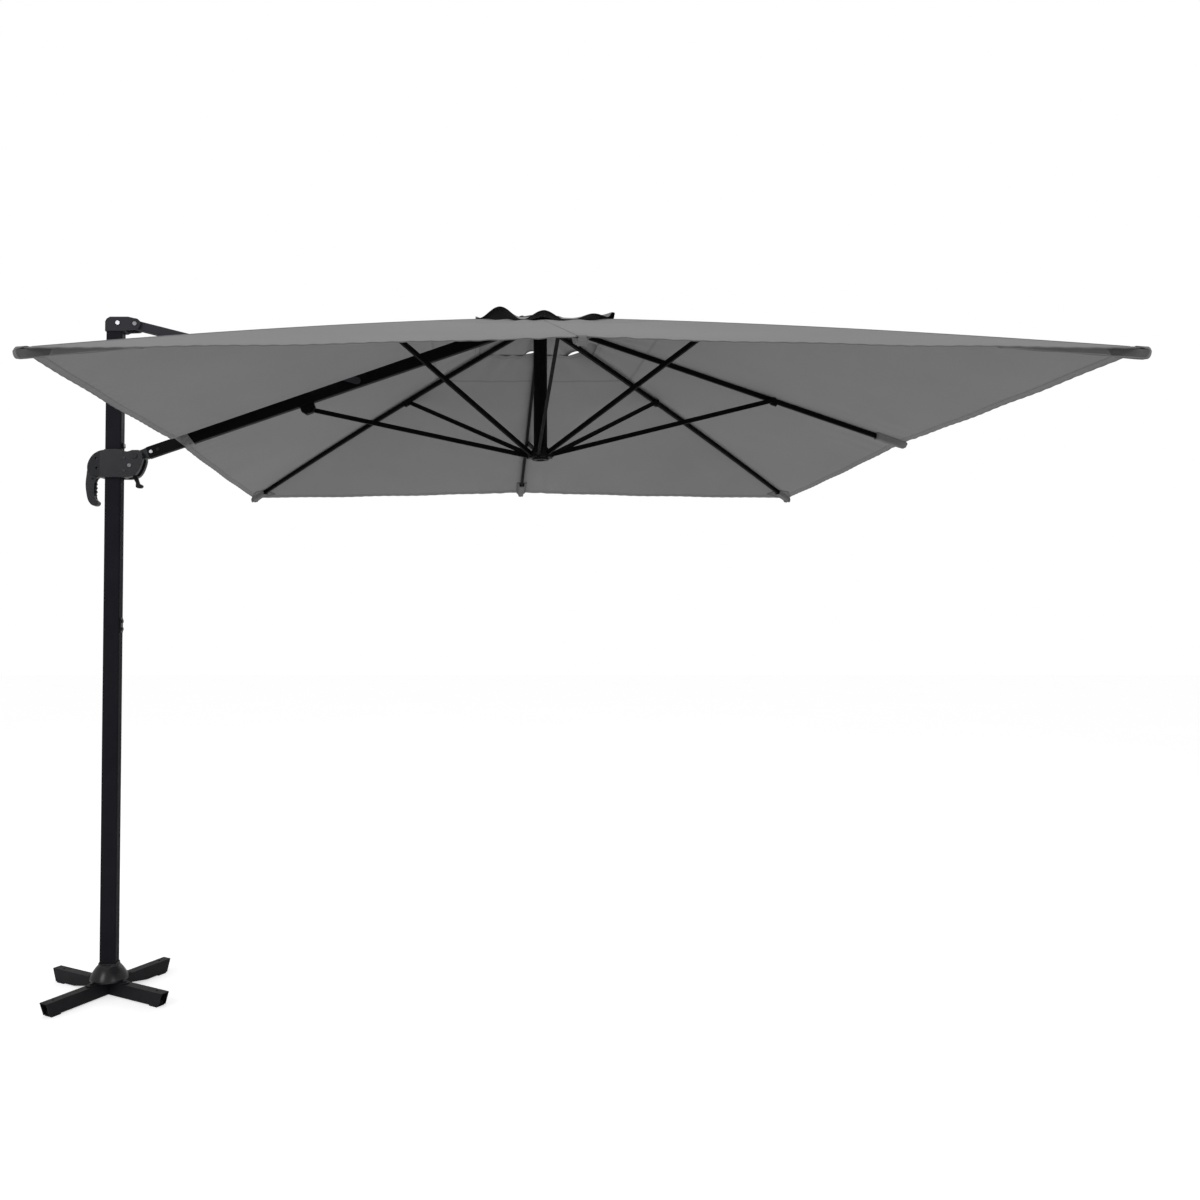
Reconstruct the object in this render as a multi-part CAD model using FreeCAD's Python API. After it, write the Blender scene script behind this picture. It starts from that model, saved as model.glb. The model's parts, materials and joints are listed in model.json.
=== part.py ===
"""Cantilever garden parasol, in millimetres.

A cross base carries a swivelling mast. A boom hinged on a sliding carriage, held by an
upper strut, carries a square canopy of eight panels on seven ribs and eight struts.
The origin is the mast axis at the ground: +X towards the canopy, +Y to the far side, +Z up.
"""
import FreeCAD, Part
import os
from math import sin, cos, tan, atan2, sqrt, radians, degrees, pi

Vec = FreeCAD.Vector
os.makedirs("parts", exist_ok=True)

# ---- driving dimensions ------------------------------------------------------
# Names ending in _R are radii, in _Z heights above the ground, in _DEG degrees.
# Cross base
BEAM_H = 52.0               # channel height
BEAM_W = 40.0
BEAM_T = 2.5
BEAM_L = 315.0              # half length of each beam
BEAM_A_DEG = 60.5
BEAM_B_DEG = BEAM_A_DEG - 90
LEG_DEGS = (BEAM_A_DEG, BEAM_A_DEG + 180, BEAM_B_DEG, BEAM_B_DEG + 180)
FOOT_H = 4.0
PLATE_T = 4.0
BOLT_CIRCLE_R = 88.0
BOLT_HOLE_R = 4.2
ANCHOR_CIRCLE_R = 269.0     # ground anchor holes, one per leg
ANCHOR_HOLE_R = 5.5
BEAM_BOTTOM_Z = FOOT_H
BEAM_TOP_Z = BEAM_BOTTOM_Z + BEAM_H
PLATE_TOP_Z = BEAM_TOP_Z + PLATE_T
FLANGE_TOP_Z = PLATE_TOP_Z + 4
WASHER_TOP_Z = FLANGE_TOP_Z + 2
SPIGOT_R = 20.0             # upright pin the mast turns on
SPIGOT_TOP_Z = 112.0

# Mast
MAST_W = 66.0               # section along X
MAST_D = 52.0               # section along Y
MAST_WALL = 2.5
MAST_R = 7.0                # corner radius of the section
MAST_FOOT_Z = 72.0
MAST_JOINT_Z = 1490.0       # seam between the two tubes
MAST_TOP_Z = 2707.0
PLUG_W = MAST_W - 2 * MAST_WALL - 0.4   # section that slips into the mast
PLUG_D = MAST_D - 2 * MAST_WALL - 0.4
HEAD_BOLT_R = 5.0

# Carriage
CARRIAGE_D = 39.0           # half depth
CARRIAGE_TOP_Z = 2212.0
BOOM_PIN_R = 6.0
LEVER_PIN = (73, 2149)      # x, z
LEVER_PIN_R = 4.0
TRIGGER_PIN = (-86, 2098)   # x, z
TRIGGER_PIN_R = 2.5
SCREW_R = 2.5

# Boom and upper strut
UPPER_X, UPPER_Z = 86.0, 2736.5         # upper strut hinge on the mast head
BOOM_X, BOOM_Z = 93.0, 2189.0           # boom hinge on the carriage
HUB_X = 1759.0                          # canopy axis
HINGE_R = 77.0                          # hub hinge from the canopy axis
END_X, END_Z = HUB_X - HINGE_R, 2737.0  # hinge between boom end and hub
FORK_AT = 962.0             # upper strut meets the boom this far from the boom hinge
BOOM_H, BOOM_W, BOOM_WALL = 48.0, 30.0, 2.0
BOOM_PLUG_H = BOOM_H / 2 - BOOM_WALL - 0.2  # half section that slips into the boom
BOOM_PLUG_W = BOOM_W / 2 - BOOM_WALL - 0.2
BOOM_BOLT_R = 4.0
UPPER_H, UPPER_W, UPPER_WALL = 36.0, 34.0, 2.5
CHEEK_T = 5.0
HUB_PIN_R = 5.0
WEST_X, WEST_Z = 797.0, 2395.0          # west canopy strut on the boom bracket

# Ribs, struts and hubs; radii are from the canopy axis
RIB_R0, RIB_Z0 = 65.0, 2735.0           # rib pins on the top hub
RIB_H, RIB_W = 19.0, 12.0
RIB_KINDS = {               # outer end radius, outer end z, bow, radius where the strut meets it
    "mid": (1494.0, 2240.0, 0.0, 964.0),
    "corner": (2112.0, 2209.8, 14.0, 827.0),
}
STRUT_R0, STRUT_Z0 = 45.0, 2198.0       # strut pins on the lower hub
STRUT_H, STRUT_W, STRUT_WALL = 18.0, 10.0, 1.5
STRUT_OFF = 12.0            # struts run beside the ribs
WEST_OFF = 31.0             # and the west one beside the boom
SMALL_PIN_R = 2.5           # rib and strut pins
POST_R = 28.0
PIN_FIT = 0.05              # radial running clearance
SLOT_FIT = 0.7              # side clearance of ribs and struts in the hubs

# Fabric
CLOTH_T = 1.5
HALF = 3000.0 / 2           # half side of the square canopy
CLOTH_TOP_Z = 2770.0
CLOTH_MID_Z = 2250.0        # edge, middle of a side
CLOTH_CORNER_Z = 2220.0
PANEL_GAP = 0.35            # set back of each panel from its seams
BUMP_RISE, BUMP_HALF = 23.5, 95.0       # raised strip over the boom
SLIT_START, SLIT_END, SLIT_HALF = 719.0, 959.0, 28.0
VENT = 250.0                # half side of the vent opening
CAP = 270.0                 # half side of the vent cap
CAP_TOP_Z = 2757.5
CROWN_R, CROWN_BOOM_R = 80.0, 118.0     # flat crown, and its reach towards the boom
CAP_REST, CAP_SAG = 5.0, 8.0
ARCH_RISE, ARCH_HALF = 34.0, 95.0       # hem arches; half width of the middle one

COMPASS = {name: 45 * i for i, name in enumerate("e ne n nw w sw s se".split())}
RIB_DEGS = {name: deg for name, deg in COMPASS.items() if name != "w"}


# ---- helpers -----------------------------------------------------------------
def save(name, shape):
    if isinstance(shape, (list, tuple)):
        shape = Part.makeCompound(list(shape))
    shape.exportStep("parts/%s.step" % name)


def box(x0, x1, y0, y1, z0, z1):
    return Part.makeBox(x1 - x0, y1 - y0, z1 - z0, Vec(x0, y0, z0))


def cyl_z(r, z0, z1, x=0.0, y=0.0):
    return Part.makeCylinder(r, z1 - z0, Vec(x, y, z0), Vec(0, 0, 1))


def cyl_y(r, x, z, y0, y1):
    return Part.makeCylinder(r, y1 - y0, Vec(x, y0, z), Vec(0, 1, 0))


def cross_bolt(r, x, z, half_len, head_r, head_t):
    """Pin along Y with a round head on each end."""
    return fuse(cyl_y(r, x, z, -half_len, half_len),
                cyl_y(head_r, x, z, -half_len - head_t, -half_len),
                cyl_y(head_r, x, z, half_len, half_len + head_t))


def side_span(side, near, far):
    """Y range from near to far on the side given by the sign."""
    return sorted((side * near, side * far))


def edges_along(shape, axis, longer_than):
    return [e for e in shape.Edges
            if abs(getattr(e.Vertexes[0].Point - e.Vertexes[1].Point, axis)) > longer_than]


def rounded_bar(width, depth, r, z0, z1):
    bar = box(-width / 2, width / 2, -depth / 2, depth / 2, z0, z1)
    return bar.makeFillet(r, edges_along(bar, "z", 1))


def mast_plug(z0, z1):
    return rounded_bar(PLUG_W, PLUG_D, 4, z0, z1)


def polygon(points):
    return Part.Face(Part.makePolygon(points + [points[0]]))


def prism_xz(points, y0, y1):
    return polygon([Vec(x, y0, z) for x, z in points]).extrude(Vec(0, y1 - y0, 0))


def smooth_xz(points, y0, y1):
    """A closed smooth outline in the XZ plane, extruded along Y."""
    curve = Part.BSplineCurve()
    curve.interpolate([Vec(x, y0, z) for x, z in points], PeriodicFlag=True)
    return Part.Face(Part.Wire(curve.toShape())).extrude(Vec(0, y1 - y0, 0))


def lines(points):
    return [Part.LineSegment(a, b).toShape() for a, b in zip(points, points[1:])]


def tilt(shape, x, z, angle):
    """Turn local +X up towards +Z by angle radians, then move the origin to x, z."""
    copy = shape.copy()
    copy.rotate(Vec(0, 0, 0), Vec(0, -1, 0), degrees(angle))
    copy.translate(Vec(x, 0, z))
    return copy


def span_xz(x0, z0, x1, z1):
    """Slope in radians and length from one point to another."""
    return atan2(z1 - z0, x1 - x0), sqrt((x1 - x0) ** 2 + (z1 - z0) ** 2)


def turn(shape, deg):
    copy = shape.copy()
    copy.rotate(Vec(0, 0, 0), Vec(0, 0, 1), deg)
    return copy


def at_hub(shape, deg=0):
    copy = turn(shape, deg)
    copy.translate(Vec(HUB_X, 0, 0))
    return copy


def fuse(first, *others):
    return first.fuse(list(others)).removeSplitter()


# ---- cross base --------------------------------------------------------------
def channel():
    """Inverted U channel along X with sloping ends."""
    beam = prism_xz([(-BEAM_L, BEAM_TOP_Z), (BEAM_L, BEAM_TOP_Z),
                     (BEAM_L - 18, BEAM_BOTTOM_Z), (-BEAM_L + 18, BEAM_BOTTOM_Z)],
                    -BEAM_W / 2, BEAM_W / 2)
    beam = beam.cut(box(-400, 400, -BEAM_W / 2 + BEAM_T, BEAM_W / 2 - BEAM_T,
                        BEAM_BOTTOM_Z - 1, BEAM_TOP_Z - BEAM_T))
    for place, r in ((BOLT_CIRCLE_R, BOLT_HOLE_R), (ANCHOR_CIRCLE_R, ANCHOR_HOLE_R)):
        for x in (-place, place):
            beam = beam.cut(cyl_z(r, BEAM_TOP_Z - 5, BEAM_TOP_Z + 1, x, 0))
    return beam


def cross_beams():
    """Two channels notched into each other, each relieved under one half."""
    notch = BEAM_W / 2 + 1.0
    middle = (BEAM_BOTTOM_Z + BEAM_TOP_Z) / 2
    relief = prism_xz([(24, BEAM_BOTTOM_Z - 1), (24, BEAM_BOTTOM_Z + 24),
                       (60, BEAM_BOTTOM_Z + 20), (190, BEAM_BOTTOM_Z - 1)], -30, 30)
    for name, deg, z0, z1, relief_deg in (
            ("a", BEAM_A_DEG, BEAM_BOTTOM_Z - 1, middle + 0.5, 0),
            ("b", BEAM_B_DEG, middle - 0.5, BEAM_TOP_Z + 1, 180)):
        beam = channel().cut(box(-notch, notch, -50, 50, z0, z1)).cut(turn(relief, relief_deg))
        save("cross_beam_" + name, turn(beam, deg))


def bolt_places():
    return [(BOLT_CIRCLE_R * cos(radians(deg)), BOLT_CIRCLE_R * sin(radians(deg)))
            for deg in LEG_DEGS]


def centre_plate():
    reach, half_w = BOLT_CIRCLE_R + 4, 18
    arm = box(-reach, reach, -half_w, half_w, BEAM_TOP_Z, PLATE_TOP_Z).fuse(
        [cyl_z(half_w, BEAM_TOP_Z, PLATE_TOP_Z, x, 0) for x in (-reach, reach)])
    plate = turn(arm, BEAM_A_DEG).fuse([turn(arm, BEAM_B_DEG),
                                        cyl_z(62, BEAM_TOP_Z, PLATE_TOP_Z)])
    for x, y in bolt_places():
        plate = plate.cut(cyl_z(BOLT_HOLE_R, BEAM_TOP_Z - 1, PLATE_TOP_Z + 1, x, y))
    return plate.removeSplitter()


def hexagon(x, y, z, height, r=8):
    points = [Vec(x + r * cos(radians(k * 60)), y + r * sin(radians(k * 60)), z)
              for k in range(6)]
    return polygon(points).extrude(Vec(0, 0, height))


def base_bolt(x, y):
    roof = BEAM_TOP_Z - BEAM_T      # underside of the channel top
    return fuse(cyl_z(4.0, roof - 9, PLATE_TOP_Z + 1, x, y),
                hexagon(x, y, PLATE_TOP_Z, 5.5), hexagon(x, y, roof - 6, 6))


def rubber_foot():
    foot = box(248, 290, -20, 20, 0, BEAM_BOTTOM_Z)
    foot = fuse(foot, box(252, 286, -17.3, 17.3, BEAM_BOTTOM_Z - 1, BEAM_BOTTOM_Z + 14))
    return foot.cut(cyl_z(ANCHOR_HOLE_R, -1, 30, ANCHOR_CIRCLE_R, 0))


cross_beams()
save("centre_plate", centre_plate())
save("base_bolts", [base_bolt(x, y) for x, y in bolt_places()])
save("rubber_feet", [turn(rubber_foot(), deg) for deg in LEG_DEGS])
save("fixed_flange", fuse(cyl_z(58, PLATE_TOP_Z, FLANGE_TOP_Z),
                          cyl_z(SPIGOT_R, PLATE_TOP_Z, SPIGOT_TOP_Z)))
save("swivel_washer", cyl_z(56, FLANGE_TOP_Z, WASHER_TOP_Z).cut(
    cyl_z(SPIGOT_R + 0.5, PLATE_TOP_Z, PLATE_TOP_Z + 8)))


# ---- mast --------------------------------------------------------------------
def swivel_flange():
    flange = fuse(cyl_z(56, WASHER_TOP_Z, MAST_FOOT_Z),
                  mast_plug(WASHER_TOP_Z + 1, SPIGOT_TOP_Z))
    return flange.cut(cyl_z(SPIGOT_R + PIN_FIT, WASHER_TOP_Z - 1, 120))


def mast_tube(z0, z1):
    return rounded_bar(MAST_W, MAST_D, MAST_R, z0, z1).cut(
        rounded_bar(MAST_W - 2 * MAST_WALL, MAST_D - 2 * MAST_WALL, MAST_R - MAST_WALL,
                    z0 - 1, z1 + 1))


def mast_sleeve():
    z0, z1 = MAST_JOINT_Z - 90, MAST_JOINT_Z + 90
    return mast_plug(z0, z1).cut(rounded_bar(PLUG_W - 6, PLUG_D - 6, 2, z0 - 1, z1 + 1))


def mast_joint_plate():
    """Plate with two round studs on the +X face of the mast."""
    face_x = MAST_W / 2 + 4
    plate = box(MAST_W / 2, face_x, -13, 13, 1464, 1526)
    plate = plate.makeFillet(4, edges_along(plate, "x", 3))
    for z in (1479, 1511):
        plate = plate.fuse(Part.makeCylinder(7, 5, Vec(face_x, 0, z), Vec(1, 0, 0)))
    return plate.removeSplitter()


def bell(floor_z, rim, shoulder, *neck):
    """Solid of revolution; rim, shoulder and neck are (radius, z), with an arc from the rim
    through the shoulder to the first neck point."""
    below = [Vec(0, 0, floor_z), Vec(rim[0], 0, floor_z), Vec(rim[0], 0, rim[1])]
    above = [Vec(r, 0, z) for r, z in neck] + [Vec(0, 0, neck[-1][1]), below[0]]
    arc = Part.Arc(below[-1], Vec(shoulder[0], 0, shoulder[1]), above[0]).toShape()
    wire = Part.Wire(lines(below) + [arc] + lines(above))
    return Part.Face(wire).revolve(Vec(0, 0, 0), Vec(0, 0, 1), 360)


def base_cover():
    dome = bell(60.5, (76, 67), (63, 92), (44, 116), (42, 124))
    core = bell(59, (73, 66.5), (60.3, 90), (46, 108))
    collar = rounded_bar(MAST_W + 7, MAST_D + 7, MAST_R + 3, 104, 126)
    bore = rounded_bar(MAST_W + 0.6, MAST_D + 0.6, MAST_R, 50, 140)
    return dome.fuse(collar).cut([core, bore]).removeSplitter()


HEAD_HALF_W, HEAD_HALF_D = MAST_W / 2 + 3, MAST_D / 2 + 3
HEAD_BOLTS = ((UPPER_X, UPPER_Z), (16, 2740))   # x, z


def mast_head():
    """Cap with a fork for the upper strut and a hollow plug down into the mast."""
    outline = [     # x, z
        (-HEAD_HALF_W, MAST_TOP_Z), (-HEAD_HALF_W, 2746), (-HEAD_HALF_W + 5, 2757),
        (-HEAD_HALF_W + 19, 2766), (58, 2766), (UPPER_X, 2759.5), (UPPER_X + 11, 2757),
        (UPPER_X + 23, 2736.5), (UPPER_X + 11, 2716), (UPPER_X, 2713.5),
        (HEAD_HALF_W + 16, 2712), (HEAD_HALF_W + 4, MAST_TOP_Z)]
    plug = mast_plug(MAST_TOP_Z - 55, MAST_TOP_Z + 2).cut(
        rounded_bar(PLUG_W - 8, PLUG_D - 8, 2, MAST_TOP_Z - 60, MAST_TOP_Z))
    head = prism_xz(outline, -HEAD_HALF_D, HEAD_HALF_D).fuse(
        [cyl_y(23, UPPER_X, UPPER_Z, -HEAD_HALF_D, HEAD_HALF_D), plug])
    head = head.cut([box(47, 140, -17.6, 17.6, 2650, 2800)]
                    + [cyl_y(HEAD_BOLT_R, x, z, -40, 40) for x, z in HEAD_BOLTS])
    return head.removeSplitter()


def carriage_stop():
    """Block on the +X face of the mast, rounded on its outer edges."""
    stop = box(MAST_W / 2, MAST_W / 2 + 9, -9, 9, 2226, 2246)
    return stop.makeFillet(5, [e for e in edges_along(stop, "y", 3)
                               if e.Vertexes[0].Point.x > MAST_W / 2 + 5])


save("swivel_flange", swivel_flange())
save("mast_lower_tube", mast_tube(MAST_FOOT_Z, MAST_JOINT_Z))
save("mast_upper_tube", mast_tube(MAST_JOINT_Z, MAST_TOP_Z))
save("mast_sleeve", mast_sleeve())
save("mast_joint_plate", mast_joint_plate())
save("base_cover", base_cover())
save("mast_head", mast_head())
save("head_bolts", [cross_bolt(HEAD_BOLT_R, x, z, HEAD_HALF_D, 8.5, 3.5) for x, z in HEAD_BOLTS])
save("carriage_stop", carriage_stop())

# ---- carriage ----------------------------------------------------------------
BODY_OUTLINE = [    # x, z
    (-62, 2205), (-30, 2213), (0, 2214), (34, 2213), (62, 2206), (84, 2212), (104, 2214),
    (121, 2204), (126, 2186), (121, 2155), (111, 2130), (96, 2111), (76, 2102), (40, 2100),
    (0, 2100), (-44, 2101), (-72, 2108), (-100, 2122), (-106, 2146), (-96, 2176), (-81, 2194)]
HANDLE_OUTLINE = [  # x, z
    (-60, 2150), (-85, 2168), (-103, 2150), (-110, 2118), (-114, 2078), (-110, 2036),
    (-97, 1998), (-80, 1986), (-62, 1992), (-61, 2002), (-68, 2008), (-75, 2020),
    (-78, 2050), (-77, 2080), (-68, 2101), (-55, 2110), (-48, 2125)]
TRIGGER_OUTLINE = [  # x, z; finger ridges on the mast side
    (-91, 2103), (-80, 2103), (-73, 2092), (-75.5, 2085), (-71, 2077), (-75.5, 2069),
    (-70.5, 2061), (-75.5, 2053), (-70.5, 2045), (-75.5, 2037), (-72, 2030), (-79, 2023),
    (-88, 2023), (-91, 2032)]
LEVER_STALK = [     # x, z
    (65, 2146), (84, 2146), (97, 2104), (105, 2078), (112, 2068), (93, 2062), (91, 2078),
    (76, 2106)]
LEVER_FOOT = [      # x, z
    (90, 2078), (90.5, 2063), (97, 2060), (112, 2060), (118, 2065), (117, 2072), (105, 2078)]
HANDLE_SCREWS = ((-62, 2138), (-66, 2178))  # x, z
BODY_SCREWS = ((52, 2127), (52, 2180))      # x, z


def carriage_shell():
    body = smooth_xz(BODY_OUTLINE, -CARRIAGE_D, CARRIAGE_D)
    body = body.common(box(-200, 200, -CARRIAGE_D, CARRIAGE_D, 2095, CARRIAGE_TOP_Z))
    for side in (-1, 1):    # taper the -X shoulder towards the narrower handle
        corners = ((-130, 15), (-130, 60), (-48, 60), (-48, CARRIAGE_D))
        wedge = polygon([Vec(x, side * y, 2050) for x, y in corners])
        body = body.cut(wedge.extrude(Vec(0, 0, 220)))
    handle = smooth_xz(HANDLE_OUTLINE, -15, 15).cut(box(-46.5, 50, -20, 20, 1950, 2101))
    shell = fuse(body, handle).cut([
        rounded_bar(MAST_W + 4.4, MAST_D + 4.4, 8, 2050, 2260),
        box(MAST_W / 2 - 10, MAST_W / 2 + 11.5, -17, 17, 2050, 2260),  # passes mast fittings
        box(58, 220, -17, 17, 2050, 2260),      # fork for boom root and clamp lever
        box(-101, -70, -8.5, 8.5, 2014, 2112),  # slot for the grip trigger
        cyl_y(BOOM_PIN_R, BOOM_X, BOOM_Z, -60, 60),
        cyl_y(LEVER_PIN_R, *LEVER_PIN, -60, 60),
        cyl_y(TRIGGER_PIN_R, *TRIGGER_PIN, -60, 60)])
    for x, z in HANDLE_SCREWS:
        shell = shell.cut([cyl_y(SCREW_R + 0.1, x, z, -60, 60),
                           cyl_y(6, x, z, -60, -24), cyl_y(6, x, z, 24, 60)])
    for x, z in BODY_SCREWS:
        for side in (-1, 1):
            shell = shell.cut(cyl_y(SCREW_R + 0.05, x, z, *side_span(side, 20, 60)))
    return shell


def shell_screws():
    screws = [cross_bolt(SCREW_R, x, z, 24, 5, 2) for x, z in HANDLE_SCREWS]
    head_top = CARRIAGE_D + 2.5
    for x, z in BODY_SCREWS:
        for side in (-1, 1):
            screws.append(fuse(cyl_y(SCREW_R, x, z, *side_span(side, 22, head_top)),
                               cyl_y(5.5, x, z, *side_span(side, CARRIAGE_D, head_top))))
    return screws


def glide_pad(z0, z1, collar):
    pad = rounded_bar(MAST_W + 4, MAST_D + 4, 8, z0, z1)
    if collar:
        pad = fuse(pad, rounded_bar(MAST_W + 10, MAST_D + 10, 11, CARRIAGE_TOP_Z + 0.4, z1))
    return pad.cut([rounded_bar(MAST_W + 0.2, MAST_D + 0.2, MAST_R, z0 - 1, z1 + 1),
                    box(MAST_W / 2 - 10, MAST_W / 2 + 40, -16.5, 16.5, z0 - 1, z1 + 1)])


def carriage_pins():
    return [cross_bolt(LEVER_PIN_R, *LEVER_PIN, CARRIAGE_D, 7.5, 3),
            cross_bolt(TRIGGER_PIN_R, *TRIGGER_PIN, 15, 4.5, 1.5)]


def grip_trigger():
    trigger = fuse(prism_xz(TRIGGER_OUTLINE, -7.5, 7.5), cyl_y(6.5, *TRIGGER_PIN, -7.5, 7.5))
    return trigger.cut(cyl_y(TRIGGER_PIN_R + PIN_FIT, *TRIGGER_PIN, -20, 20))


def clamp_lever():
    """Boss on its pin, flat tapering stalk, foot turned towards +X."""
    lever = fuse(cyl_y(9, *LEVER_PIN, -8, 8),
                 prism_xz(LEVER_STALK, -5, 5), prism_xz(LEVER_FOOT, -8.5, 8.5))
    return lever.cut(cyl_y(LEVER_PIN_R + PIN_FIT, *LEVER_PIN, -20, 20))


shell = carriage_shell()
save("carriage_shell_front", shell.common(box(-300, 300, -100, -0.1, 1900, 2300)))
save("carriage_shell_rear", shell.common(box(-300, 300, 0.1, 100, 1900, 2300)))
save("shell_screws", shell_screws())
save("glide_pads", [glide_pad(2103, 2123, False), glide_pad(2188, 2217, True)])
save("boom_hinge_pin", cross_bolt(BOOM_PIN_R, BOOM_X, BOOM_Z, CARRIAGE_D, 12.5, 3.5))
save("carriage_pins", carriage_pins())
save("grip_trigger", grip_trigger())
save("clamp_lever", clamp_lever())

# ---- boom, modelled along +X from its hinge and then tilted ------------------
BOOM_ANGLE, BOOM_LEN = span_xz(BOOM_X, BOOM_Z, END_X, END_Z)
ROOT_BOLTS = (64, 94)                           # distances from the boom hinge
END_BOLTS = (BOOM_LEN - 50, BOOM_LEN - 78)


def on_boom(shape):
    return tilt(shape, BOOM_X, BOOM_Z, BOOM_ANGLE)


def boom_holes(places):
    return [cyl_y(BOOM_BOLT_R, x, 0, -30, 30) for x in places]


def boom_plug(x0, x1):
    return box(x0, x1, -BOOM_PLUG_W, BOOM_PLUG_W, -BOOM_PLUG_H, BOOM_PLUG_H)


def boom_root():
    root = fuse(cyl_y(24, 0, 0, -15.5, 15.5), box(0, 50, -15, 15, -20, 20), boom_plug(40, 108))
    return root.cut([cyl_y(BOOM_PIN_R + PIN_FIT, 0, 0, -30, 30)] + boom_holes(ROOT_BOLTS))


def boom_tube():
    half_w, half_h = BOOM_W / 2, BOOM_H / 2
    tube = box(50, BOOM_LEN - 28, -half_w, half_w, -half_h, half_h)
    tube = tube.makeFillet(3, edges_along(tube, "x", 100))
    inside = box(40, BOOM_LEN, -half_w + BOOM_WALL, half_w - BOOM_WALL,
                 -half_h + BOOM_WALL, half_h - BOOM_WALL)
    return tube.cut([inside] + boom_holes(ROOT_BOLTS + END_BOLTS))


def boom_fork():
    fork = fuse(boom_plug(BOOM_LEN - 92, BOOM_LEN - 22),
                box(BOOM_LEN - 28, BOOM_LEN, -15, 15, -17, 17),
                cyl_y(17, BOOM_LEN, 0, -15, 15))
    return fork.cut([box(BOOM_LEN - 22, BOOM_LEN + 40, -10, 10, -30, 30),
                     cyl_y(HUB_PIN_R, BOOM_LEN, 0, -30, 30)] + boom_holes(END_BOLTS))


def strut_bracket():
    """Block under the boom with a boss on +Y for the west canopy strut."""
    dx, dz = WEST_X - BOOM_X, WEST_Z - BOOM_Z
    along = dx * cos(BOOM_ANGLE) + dz * sin(BOOM_ANGLE)
    across = -dx * sin(BOOM_ANGLE) + dz * cos(BOOM_ANGLE)
    outline = [(along - 30, -BOOM_H / 2), (along + 30, -BOOM_H / 2), (along + 30, -44),
               (along + 14, -62), (along - 14, -62), (along - 30, -44)]
    return fuse(prism_xz(outline, -14, 14), cyl_y(11, along, across, 14, WEST_OFF - 6),
                cyl_y(7, along, across, -17, -14))


save("boom_root", on_boom(boom_root()))
save("boom_tube", on_boom(boom_tube()))
save("boom_bolts", [on_boom(cross_bolt(BOOM_BOLT_R, x, 0, BOOM_W / 2, 7, 1.8))
                    for x in ROOT_BOLTS + END_BOLTS])
save("boom_fork", on_boom(boom_fork()))
save("hub_pivot_pin", on_boom(cross_bolt(HUB_PIN_R, BOOM_LEN, 0, BOOM_W / 2, 8, 3)))
save("strut_bracket", on_boom(strut_bracket()))


# ---- upper strut -------------------------------------------------------------
def upper_strut():
    """One tube whose two cheeks fork round the boom."""
    angle, length = span_xz(UPPER_X, UPPER_Z, BOOM_X + FORK_AT * cos(BOOM_ANGLE),
                            BOOM_Z + FORK_AT * sin(BOOM_ANGLE))
    half_w, half_h = UPPER_W / 2, UPPER_H / 2
    tube = box(0, 728, -half_w, half_w, -half_h, half_h)
    tube = tube.makeFillet(3, edges_along(tube, "x", 100))
    tube = fuse(tube, cyl_y(half_h, 0, 0, -half_w, half_w))
    outer = half_w + CHEEK_T
    cheeks = []
    for side in (-1, 1):
        y0, y1 = side_span(side, half_w, outer)
        cheeks.append(box(640, length, y0, y1, -14, 14))
        cheeks.append(cyl_y(14, length, 0, y0, y1))
        for r, x, head_t in ((8, length, 2.3), (6, 660, 2), (6, 708, 2)):
            cheeks.append(cyl_y(r, x, 0, *side_span(side, outer, outer + head_t)))
    inside = box(40, 740, -half_w + UPPER_WALL, half_w - UPPER_WALL,
                 -half_h + UPPER_WALL, half_h - UPPER_WALL)
    tube = tube.cut([inside, cyl_y(HEAD_BOLT_R + PIN_FIT, 0, 0, -40, 40)])
    return tilt(fuse(tube, *cheeks), UPPER_X, UPPER_Z, angle)


save("upper_strut", upper_strut())


# ---- canopy hubs and post ----------------------------------------------------
def strut_offset(name):
    """Sideways place of a strut, along +Y before it is turned to its bearing."""
    return -WEST_OFF if name == "w" else -STRUT_OFF


def top_hub():
    hub = fuse(cyl_z(76, 2722, 2748), cyl_z(35, 2695, 2724))
    hub = hub.cut([box(-90, -50, -19.5, 19.5, 2700, 2760)])
    hub = fuse(hub, box(-HINGE_R, -45, -9.5, 9.5, END_Z - 12, END_Z + 11),
               cyl_y(12, -HINGE_R, END_Z, -9.5, 9.5))
    cuts = [cyl_z(POST_R + 0.1, 2690, 2722),
            cyl_y(HUB_PIN_R + PIN_FIT, -HINGE_R, END_Z, -30, 30)]
    half_slot = RIB_W / 2 + SLOT_FIT
    for deg in RIB_DEGS.values():
        cuts.append(turn(box(52, 90, -half_slot, half_slot, 2700, 2760), deg))
        cuts.append(turn(cyl_y(SMALL_PIN_R, RIB_R0, RIB_Z0, -13, 13), deg))
    return at_hub(hub.cut(cuts))


def strut_pin(name):
    off = strut_offset(name)
    return cyl_y(SMALL_PIN_R, STRUT_R0, STRUT_Z0, off - 9.5, off + 9.5)


def lower_hub():
    hub = fuse(cyl_z(50, 2184, 2212), cyl_z(33, 2176, 2226),
               box(-55, -20, WEST_OFF - 12, WEST_OFF + 12, 2188, 2208))
    cuts = [cyl_z(POST_R + PIN_FIT, 2196, 2240), cyl_z(18, 2170, 2200)]
    half_slot = STRUT_W / 2 + SLOT_FIT
    for name, deg in COMPASS.items():
        off = strut_offset(name)
        slot_start = 31 if name == "w" else 33
        cuts.append(turn(box(slot_start, 90, off - half_slot, off + half_slot, 2170, 2240), deg))
        cuts.append(turn(strut_pin(name), deg))
    return at_hub(hub.cut(cuts))


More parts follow.
